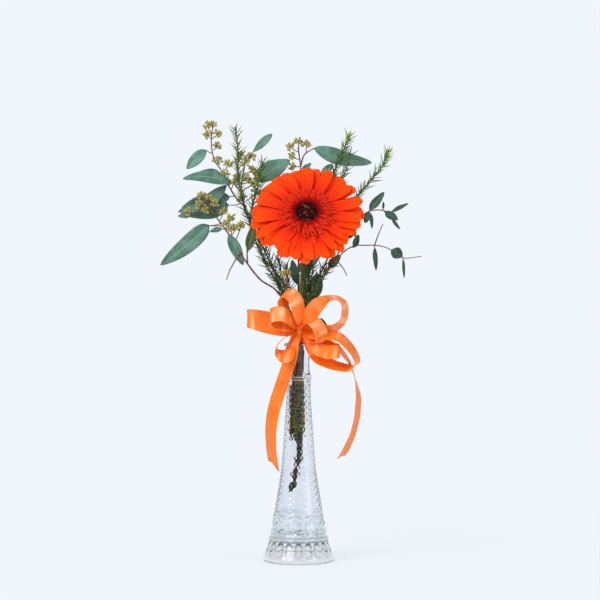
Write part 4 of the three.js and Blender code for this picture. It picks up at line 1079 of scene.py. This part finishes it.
def leafy(name, light, dark, rib, gloss):
    """The finish of a leaf."""
    finish = Finish(name)
    across, along = finish.uv()
    off_rib = (across - 0.5).absolute()
    cloud = finish.noise(110.0, 4.0)
    veins = (along - off_rib * 0.9).wave(11.0) ** 6.0
    tone = finish.mix(dark, light, cloud.step(0.25, 0.75) * 0.7 + finish.tint() * 0.5)
    tone = finish.mix(rgb(64, 80, 22), tone, finish.tint().step(-0.6, 0.0))
    veined = finish.mix(tone, rib, veins * 0.16)
    ribbed = finish.mix(rib, veined, off_rib.step(0.012, 0.045))
    edged = finish.mix(ribbed, rgb(128, 96, 84), off_rib.step(0.47, 0.5) * 0.35)
    skin = off_rib.step(0.0, 0.05) * 0.6 + (1 - veins) * 0.25 + finish.noise(1800.0) * 0.15
    rise = finish.bump(skin, 0.25, 0.7)
    return finish.coat(base_color=edged, roughness=gloss + cloud * 0.15, normal=rise, specular_ior_level=0.4,
                       subsurface_weight=0.06, subsurface_radius=(0.001, 0.002, 0.001), subsurface_scale=1.0)


def woody(name, light, dark):
    """The finish of twigs: streaks along them and small knots."""
    finish = Finish(name)
    streaks = finish.noise(500.0, 4.0, stretch=(1, 1, 0.18))
    tone = finish.mix(dark, light, streaks.step(0.3, 0.7))
    knots = finish.noise(160.0, 2.0)
    tone = finish.mix(tone, dark, knots.step(0.55, 0.75) * 0.6)
    return finish.coat(base_color=tone, roughness=0.6 + streaks * 0.2, normal=finish.bump(streaks, 0.2, 0.7))


LEAF = leafy("eucalyptus_leaf", rgb(100, 141, 126), rgb(42, 76, 56), rgb(118, 152, 128), 0.42)
GUM_LEAF = leafy("gum_leaf", rgb(54, 88, 70), rgb(22, 46, 32), rgb(84, 110, 84), 0.36)
STEM = woody("eucalyptus_twig", rgb(142, 98, 78), rgb(78, 48, 44))
NEEDLE_STEM = woody("heath_twig", rgb(118, 112, 62), rgb(62, 48, 30))

# %% [markdown]
# A cluster of buds is an umbel: several clubs from one point, spread over a ball with none at the side
# where the stalk comes in. The recipe copies each hub point, and the number of the copy gives its direction
# on a spiral.

# %% Recipe: umbels
umbel = Recipe("umbels", buds=9, spread=1.45, seed=3)
size, random_in = umbel.size, umbel.random
hubs = umbel.add("GeometryNodeMeshToPoints", {}, {"Mesh": size("Geometry")})
many, which = umbel.repeated(hubs, size("Buds"))
heading = umbel.add("GeometryNodeInputNamedAttribute", {"data_type": "FLOAT_VECTOR"}, {"Name": "heading"})
height = 1.0 - (which + 0.5) / size("Buds") * size("Spread") + random_in(-0.12, 0.12, 5)
height = height.at_most(1.0)
flat = (1.0 - height * height).at_least(0.0) ** 0.5
cosine, sine = (which * 2.4 + random_in(-0.5, 0.5, 6)).circle()
outward = umbel.add("FunctionNodeRotateVector", {}, {
    "Vector": umbel.vector(cosine * flat, sine * flat, height), "Rotation": umbel.upright_along(heading)})
umbel.copies(many, umbel.upright_along(outward),
             umbel.vector(random_in(0.65, 1.0, 7), random_in(0.65, 1.0, 8), random_in(0.7, 1.05, 9)))
print("umbel recipe:", len(umbel.tree.nodes), "nodes")

# %% Buds
olive = Finish("bud_olive")
mottle = olive.noise(700.0, 3.0)
warmth = olive.uv()[1] * 0.5 + (mottle - 0.5) * 0.4 + (olive.tint() - 0.2) * 0.9
bud_tone = olive.ramp(warmth, (0.0, rgb(84, 98, 26)), (0.35, rgb(134, 142, 48)), (0.6, rgb(190, 180, 102)),
                      (0.82, rgb(120, 86, 44)), (1.0, rgb(52, 34, 20)))
BUD = olive.coat(base_color=bud_tone, roughness=0.5 + mottle * 0.2, specular_ior_level=0.3,
                 normal=olive.bump(mottle, 0.15, 0.7))
BUDS_IN_UMBEL = 13


def club(k):
    """A club-shaped bud: thin stalk, round belly, blunt lid with a small point."""
    wide = 1.3 + 0.12 * k
    stalk_part = [(0.34, -0.3), (0.32, 1.6), (0.5, 2.7)]
    belly = [(wide, 3.9), (wide + 0.1, 4.6), (wide * 0.9, 5.3), (wide * 0.4, 6.0), (0.06, 6.4)]
    return bud(f"club_{k}", stalk_part + belly)


def umbels_at(name, hubs, headings_at, seed):
    """Clusters of buds on the hub points."""
    mesh = bpy.data.meshes.new(name)
    mesh.from_pydata([h * MM for h in hubs], [], [])
    heading_data = mesh.attributes.new("heading", "FLOAT_VECTOR", "POINT")
    heading_data.data.foreach_set("vector", [c for h in headings_at for c in h])
    kinds = [club(k) for k in range(3)]
    return umbel.cook(name, kinds, BUD, on=in_scene(name, mesh), buds=BUDS_IN_UMBEL, spread=1.5, seed=seed)


# %% [markdown]
# Needles follow a stem. The recipe walks along a curve in even steps, copies each step a few times, turns
# the copies round the stem and leans them up and out. The same recipe makes the short crushed needles
# inside the neck.

# %% Recipe: needles along a stem
needles = Recipe("needles", spacing=3.0, whorl=3, lean=0.75, seed=5)
size, random_in = needles.size, needles.random
steps = needles.add("GeometryNodeCurveToPoints", {"mode": "LENGTH"}, {
    "Curve": size("Geometry"), "Length": size("Spacing") * MM})
many, which = needles.repeated(steps, size("Whorl"))
round_stem = (which + random_in(-0.35, 0.35, 1)) / size("Whorl") * (2 * math.pi) + random_in(0.0, 1.2, 2)
lean = size("Lean") * random_in(0.75, 1.25, 3)
own = needles.add("FunctionNodeEulerToRotation", {}, {0: needles.vector(0.0, lean, round_stem)})
turn = needles.add("FunctionNodeRotateRotation", {"rotation_space": "LOCAL"}, {
    "Rotation": needles.upright_along(steps.output("Tangent")), "Rotate By": own})
thick = random_in(0.8, 1.2, 4)
needles.copies(many, turn, needles.vector(thick, thick, random_in(0.7, 1.15, 5)))
print("needle recipe:", len(needles.tree.nodes), "nodes")


# %% Needles
def needly(finish, hue, *stops, **sockets):
    """A matt finish in the greens that its own sum picks."""
    rough = finish.bump(finish.noise(1600.0), 0.12)
    return finish.coat(**{"roughness": 0.5, **sockets}, base_color=finish.ramp(hue, *stops), normal=rough)


heath = Finish("needle_green")
high = heath.split(heath.place())[2].step(0.3, 0.44)
hue = heath.uv()[1] * 0.6 + heath.tint() * 0.5 + heath.noise(60.0) * 0.4 + high * 0.35 - 0.5
NEEDLE = needly(heath, hue, (0.0, rgb(34, 46, 16)), (0.4, rgb(70, 98, 38)), (0.75, rgb(118, 146, 66)),
                (1.0, rgb(182, 192, 112)))
crushed = Finish("crushed_green")
mood = crushed.noise(330.0, 2.0).step(0.25, 0.75) * 0.8 + crushed.tint() * 0.2
CRUSHED = needly(crushed, mood, (0.0, rgb(20, 14, 4)), (0.25, rgb(54, 62, 4)), (0.45, rgb(116, 136, 8)),
                 (0.65, rgb(190, 200, 70)), (0.8, rgb(70, 84, 10)), (1.0, rgb(132, 76, 26)),
                 roughness=0.6, specular_ior_level=0.2)
young = Finish("young_tip_green")
YOUNG = needly(young, young.uv()[1] + (young.tint() - 0.5) * 0.6, (0.0, rgb(70, 100, 24)),
               (0.5, rgb(126, 156, 40)), (1.0, rgb(196, 208, 90)))
QUARTERS = (0, 1.57, 3.14, 4.71)


def needle_kind(k, length):
    """A slim needle that bends a little inwards, with its foot inside the stem."""
    rows = []
    for t in span(5):
        half = 0.56 * (1 - t) ** 0.5 * min(1.0, 0.55 + 2 * t) + 0.04
        x = -(0.5 + 0.3 * k) * t * t
        rows.append([Vector((x + half * math.cos(a), 1.15 * half * math.sin(a), length * t))
                     for a in QUARTERS])
    shape = Shape()
    shape.grid(rows, [[(q / 4, t) for q in range(4)] for t in span(5)], closed=True)
    shape.close(0, 4)
    return shape.build(f"needle_{k}", None)


def needles_on(name, paths, length, dress, **sizes):
    """Needles along several paths."""
    curve = bpy.data.curves.new(name, "CURVE")
    curve.dimensions = "3D"
    for path in paths:
        spline = curve.splines.new("POLY")
        spline.points.add(len(path) - 1)
        for knot, point in zip(spline.points, path):
            knot.co = (*(point * MM), 1)
    kinds = [needle_kind(k, length) for k in range(3)]
    return needles.cook(name, kinds, dress, on=in_scene(name, curve), **sizes)


# %% [markdown]
# Now each spray grows from its own description: bark tubes, leaves with short stalks, clusters on thin
# stalks and needles on the upper part of a stem. One spray becomes one piece with several finishes. The
# parts that stand in the neck carry only short dark needles, crushed against each other, as far as the
# glass lets them.

# %% Sprays
# Short needles grow on a stem between these heights.
NECK_FROM, NECK_TO = 124, 184
YOUNG_TIPS = ("needle_sprig_right", "needle_sprig_far")


def beyond(path, bare):
    """The part of a path that is further than bare from its foot."""
    walked = 0.0
    for i in range(1, len(path)):
        walked += (path[i] - path[i - 1]).length
        if walked >= bare:
            return path[i:]
    return []


def grow(name, stem, radius, shoots=(), leaves=(), umbels=(), bare=None, needled=(), offcuts=(), knots=()):
    """One spray of foliage as one piece."""
    chance = random.Random(name)
    paths = [even_path(places, 2.5) for places in (stem, *shoots)]
    needled_stem = bare is not None
    bark, green, hub_points, headings_at = Shape(), Shape(), [], []

    def swelling(t):
        height = paths[0][round(t * (len(paths[0]) - 1))].z
        return 1 + 0.05 * math.sin(40 * t) + sum(1.1 * bell(height - knot, 3.0) for knot in knots)

    bark.tube(paths[0], lambda t: radius * (1 - 0.45 * t * t) * swelling(t), 8, chance.random())
    for path in paths[1:]:
        bark.tube(path, lambda t: radius * (0.8 - 0.35 * t), 6, chance.random())
    for k, placed in enumerate(leaves):
        base = Vector(placed["base"])
        root = root_for(base, paths)
        if (base - root).length > 1.0:
            elbow = root.lerp(base, 0.5) + Vector((0, 0, -0.06 * (base - root).length))
            bark.tube(even_path([root, elbow, base], 1.5), lambda t: 0.55 - 0.1 * t, 6, chance.random())
        # Leaves that stand higher get a higher tint, and so a lighter tone, unless their own tint is given.
        lighter_when_higher = 0.3 * chance.random() + 0.7 * min(1.0, max(0.0, (base.z - 300) / 110))
        blade(green, **{"tint": lighter_when_higher, "seed": k, **placed})
    for place in umbels:
        hub = Vector(place)
        root = root_for(hub, paths)
        elbow = root.lerp(hub, 0.6) + Vector((0, 0, -0.08 * (hub - root).length))
        bark.tube(even_path([root, elbow, hub], 1.5), lambda t: 0.42 + 0.25 * t, 6, chance.random())
        hub_points.append(hub)
        headings_at.append((hub - elbow).normalized())
    pieces = [bark.build(name + "_bark", NEEDLE_STEM if needled_stem else STEM)]
    if leaves:
        pieces.append(green.build(name + "_leaves", GUM_LEAF if name == "gum_twig" else LEAF, 0.35))
    if umbels:
        pieces.append(umbels_at(name + "_buds", hub_points, headings_at, len(name)))
    if needled_stem:
        above = [path[:-2] for path in (beyond(paths[0], bare), *(paths[1 + k] for k in needled))]
        pieces.append(needles_on(
            name + "_needles", above, 11.5, NEEDLE, spacing=2.8, whorl=3, seed=len(name)))
        if name in YOUNG_TIPS:
            pieces.append(needles_on(
                name + "_tips", [above[0][-4:]], 8.5, YOUNG, spacing=1.3, whorl=4, lean=0.4, seed=8))
        in_neck = [[point for point in paths[0] if NECK_FROM < point.z < NECK_TO]]
        in_neck += [[Vector(place) for place in offcut] for offcut in offcuts]
        pieces.append(needles_on(
            name + "_short", in_neck, 4.4, CRUSHED, spacing=1.3, whorl=5, lean=0.62, seed=3))
    return count_faces(joined(name + "_spray", pieces))


sprays = {name: grow(name, **description) for name, description in SPRAYS.items()}

# %% [markdown]
# The bow is one satin ribbon, tied round the stems just above the lip. Each loop is a strip that leaves the
# knot gathered, opens to its full width and comes back. Each station gives the middle of the ribbon, how
# much of its width shows across and up, and whether the rest runs back (1) or forward (-1). A 0 there means
# that the ribbon is gathered narrower. It is wide where it faces us and nearly edge-on where it turns.

# %% Ribbon strips
RIBBON_WIDTH = 17.0
LOOPS = [[(2, -12, 233, -5, 0, 0), (2.5, -15, 241, -10, -6, -1), (0.2, -18, 250, -12, -8, -1),
          (-2.2, -20, 259.5, -12, -8, -1), (-9, -21, 267.5, -10, -9, -1), (-15.5, -21, 266, -8, -9, -1),
          (-16, -21, 259, -9, -7, -1), (-12.5, -20, 249, -8, -7, -1), (-6, -17, 240, -7, -5, -1),
          (0, -12, 232, -5, -2, 0)],
         [(0, -11, 232, 0, 7, 0), (-14, -14, 232, 0, 14, 0), (-30, -15, 235.5, 0, 17, 0),
          (-45, -14, 240, 0, 17, 0), (-51.5, -7.5, 242.3, 0, 17, 0), (-45, -1, 243, 0, 17, 0),
          (-29, -1.5, 241, 0, 16, 0), (-13, -5, 237, 0, 12, 0), (-3, -9.5, 233, 0, 7, 0)],
         [(-1, -13, 233, 1, 6, 0), (-8, -25, 242, 1, 13, 1), (-16, -32, 247, 0, 14.5, 1),
          (-25, -31, 246.5, 0, 14.5, 1), (-28.6, -25.5, 243.5, 0, 14.5, 1), (-24, -20.5, 239.5, 0, 14.5, 1),
          (-13, -18, 236, 1, 12, 1), (-2, -12, 232, 1, 6, 0)],
         [(3, -12, 233, 4, -4, 0), (10, -18, 244, 11, -10, -1), (19, -22, 256, 9, -11, -1),
          (28, -24, 262, 5, -6, -1), (38, -24, 263, -1, -4.5, -1), (45, -23, 257, -6, -3, -1),
          (46, -21, 248.5, -7, 0, -1), (43, -19, 239, -6, 4, -1), (35, -16, 232.5, -3, 8, -1),
          (22, -13, 230, -1, 12, -1), (6, -11, 231, 0, 7, 0)],
         [(2, -13, 231, -3, -5, 0), (9, -23, 239, -9, -7, -1), (15.5, -30, 239.5, -12, -5, -1),
          (21.5, -32, 231, -12, -5, -1), (22, -29, 221, -12, -4, -1), (14, -23, 217.5, -9, 5, -1),
          (3, -13, 228, -3, 5, 0)],
         [(3, -12, 230, -3, -6, 0), (15, -19, 227, -5, -9, -1), (28, -22, 226.5, -5, -9, -1),
          (40, -23, 224, -5, -8, -1), (50, -24, 215, -5, -7, -1), (57, -24, 204, -6, -4, -1),
          (57.5, -24, 197, -6, -4, -1), (52, -23, 193, -5, -6, -1), (40, -23, 195, -4, -8, -1),
          (27, -22, 199.5, -4, -10, -1), (14, -20, 208, -4, -11, -1), (4, -13, 226, -3, -6, 0)],
         [(3, -13, 230, 2, 6, 0), (14, -28, 215, 1, 12, 1), (26, -33, 210, 1, 13, 1),
          (36, -33, 209.5, 1, 13, 1), (40.5, -29, 210.5, 0, 13, 1), (36, -25.5, 212, 0, 13, 1),
          (22, -22, 216, 1, 11, 1), (4, -13, 228, 2, 6, 0)],
         [(0, -13, 229, 2, 4, 0), (-10, -18, 226, 3, 3, 1), (-19, -22, 219, 2, 2, 1),
          (-22.5, -24, 211, 2, 5, 1), (-18.5, -26, 206, 1, 11, 1), (-12, -28, 205.5, 1, 13, 1),
          (-4.5, -27, 209, 3, 12, 1), (-0.5, -21, 220, 4, 6, 0), (1, -14, 229, 3, 3, 0)]]
TAILS = [[(0, -14, 229, 7, 1, 0), (-5.5, -20, 217, 12, 2, -1), (-9, -21, 200, 14.5, 3, -1),
          (-14.4, -21, 184, 15, 5, -1), (-21, -20, 164, 15, 5, -1), (-25.5, -19, 147, 13, 4, -1),
          (-27.5, -18, 130, 11, 1, -1), (-27, -17, 112, 10, -1, -1), (-25, -17, 98, 10, -3, -1)],
         [(3, -13, 229, 0, 7, 0), (12, -15, 225, 2, 7, 0), (24, -16.5, 221, 3, 6, -1),
          (35, -17, 216, 3, 5, -1), (44, -17.5, 208, 3, 4, -1), (51, -18, 197, 2, 2, -1),
          (56, -18, 183, -1, 1, -1), (59, -18, 167, -5, 0, -1), (59, -18, 155, -6, 1, -1),
          (57, -18, 140, -6, 1, -1), (53, -19, 126, -6, 2, -1), (47.5, -20, 114, -6, 3, -1),
          (42.5, -21, 106, -5, 3, -1)]]


# Where the ribbon bends with this radius or tighter, its colour gets the most painted sheen.
TIGHT_BEND = 9.0


def ribbon_strip(shape, stations, slant=0.0, tail=False):
    """One strip of ribbon, gathered where it leaves the knot. Gives its length."""
    middle = [station[:3] for station in stations]
    widths = []
    for *_, dx, dz, depth in stations:
        widths.append((dx, depth * math.sqrt(max(0.0, RIBBON_WIDTH**2 - dx * dx - dz * dz)), dz))
    steps, columns, first = 8 * len(stations), 10, len(shape.points)
    centres = [along_curve(middle, t) for t in span(steps)]
    ways = headings(centres)
    walked = [0.0]
    for a, b in zip(centres, centres[1:]):
        walked.append(walked[-1] + (b - a).length)

    def place_at(i, s):
        t = i / steps
        width = along_curve(widths, t)
        normal = ways[i].cross(width).normalized()
        near_knot = bell(t, 0.09) + (0.0 if tail else bell(1 - t, 0.09))
        across = 2 * s - 1
        gather = 0.75 * near_knot * math.sin(4.5 * math.pi * s)
        curl = 0.35 * (1 - across * across) * (1 - near_knot) + 0.12 * math.sin(0.35 * walked[i] + 3 * across)
        ahead = ways[i] * (across * slant / 2 if i == steps else 0.0)
        return centres[i] + width * (across / 2) + normal * (gather + curl) + ahead

    shape.sheet(place_at, range(steps + 1), span(columns), v_at=lambda i: walked[i] / RIBBON_WIDTH)
    step = walked[-1] / steps
    bends = [(ways[min(i + 2, steps)] - ways[max(i - 2, 0)]).length / (4 * step) for i in range(steps + 1)]
    # The bend goes into the tint, from which the finish paints the sheen.
    shape.tints[first:] = [min(1.0, bend * TIGHT_BEND) for bend in bends for _ in range(columns + 1)]
    return walked[-1]


bow_shape = Shape()
ribbon_length = sum(ribbon_strip(bow_shape, stations) for stations in LOOPS)
ribbon_length += ribbon_strip(bow_shape, TAILS[0], 12, True) + ribbon_strip(bow_shape, TAILS[1], 8, True)

# %% [markdown]
# The knot is the same ribbon wrapped once over the gathered loops and once round the stems. Pulled tight it
# folds into two or three creases along its run.

# %% Knot, band and finish
def wrap(shape, centre_at, out_at, width_at, folds, turns=48):
    """A closed band of ribbon with creases along its run."""
    def place_at(t, s):
        ridge = abs(math.sin(2.5 * math.pi * s + 0.5 * math.sin(2 * math.pi * t)))
        crease = folds * ridge * math.sin(math.pi * s) ** 0.5
        return centre_at(t) + width_at(t) * (s - 0.5) + out_at(t) * crease

    shape.sheet(place_at, span(turns), span(12), 0.4, lambda t: 3 * t)


def turn(t):
    """The cosine and the sine after t turns."""
    return math.cos(2 * math.pi * t), math.sin(2 * math.pi * t)


KNOT, KNOT_LENGTH = Vector((1.4, -12.7, 230.4)), 40
BAND_RADIUS, BAND_HEIGHT, BAND_WIDTH, BAND_LENGTH = 8.1, 226, 13.5, 52
wrap(bow_shape, lambda t: KNOT + Vector((0, -2.6 * turn(t)[0], 4.4 * turn(t)[1])),
     lambda t: Vector((0, -turn(t)[0], turn(t)[1])), lambda t: Vector((5.6 + 0.8 * turn(t)[0], 0, 0)), 1.2)
wrap(bow_shape, lambda t: Vector((BAND_RADIUS * turn(t)[0], BAND_RADIUS * turn(t)[1], BAND_HEIGHT)),
     lambda t: Vector((*turn(t), 0)), lambda t: Vector((0, 0, BAND_WIDTH)), 0.5)
ribbon_length += KNOT_LENGTH + BAND_LENGTH

satin = Finish("orange_satin")
across, along = satin.uv()
shade = satin.noise(70.0, 2.0)
warp = across.wave(70.0)
weft = along.wave(52.0)
tone = satin.mix(rgb(228, 106, 4), rgb(238, 130, 10), shade.step(0.3, 0.7) * 0.6)
# Painted sheen: pale peach bands along the ribbon, strongest where it bends tightly, stand in for the satin's
# highlights.
painted_sheen_bands = satin.noise(1.7, 1.5, satin.vector(across * 0.25, along)).step(0.42, 0.62)
lit = satin.tint().step(0.1, 0.8) * 0.95 + 0.05
tone = satin.mix(tone, rgb(255, 198, 146), lit * painted_sheen_bands * (across.wave(6.0) * 0.25 + 0.8))
threads = satin.mix(tone, rgb(255, 160, 80), warp * 0.12 + weft * 0.05)
selvedge = satin.mix(threads, rgb(255, 150, 70), (across - 0.5).absolute().step(0.465, 0.49) * 0.5)
# The faint orange emission is painted light: a glow that stands in for light passing through the satin into
# its shaded sides.
SATIN = satin.coat(
    base_color=selvedge, roughness=0.27 + shade * 0.08, normal=satin.bump(warp * 0.5 + weft * 0.3, 0.03, 0.6),
    emission_color=rgb(255, 84, 0), emission_strength=0.1, specular_ior_level=0.4, anisotropic=0.5)
bow = count_faces(bow_shape.build("satin_bow", SATIN, 0.3))
print("the ribbon is", round(ribbon_length), "mm long")

# %% [markdown]
# Every piece now takes the place of its solid and rides on the one body.

# %% Handing over
places = {"vase": (vase, "glass"), "water": (water, "water"), "gerbera_scape": (scape, "stalk"),
          "gerbera_rays": (petals, "ray"), "gerbera_inner_florets": (inner_florets, "floret"),
          "gerbera_disc": (disc, "disc"), "ribbon_bow": (bow, "ribbon")}
for name, spray in sprays.items():
    places[name] = (spray, name.split("_")[0].replace("gum", "twig"))
for node, (piece, slot) in places.items():
    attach(piece, "root")
    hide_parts(node)
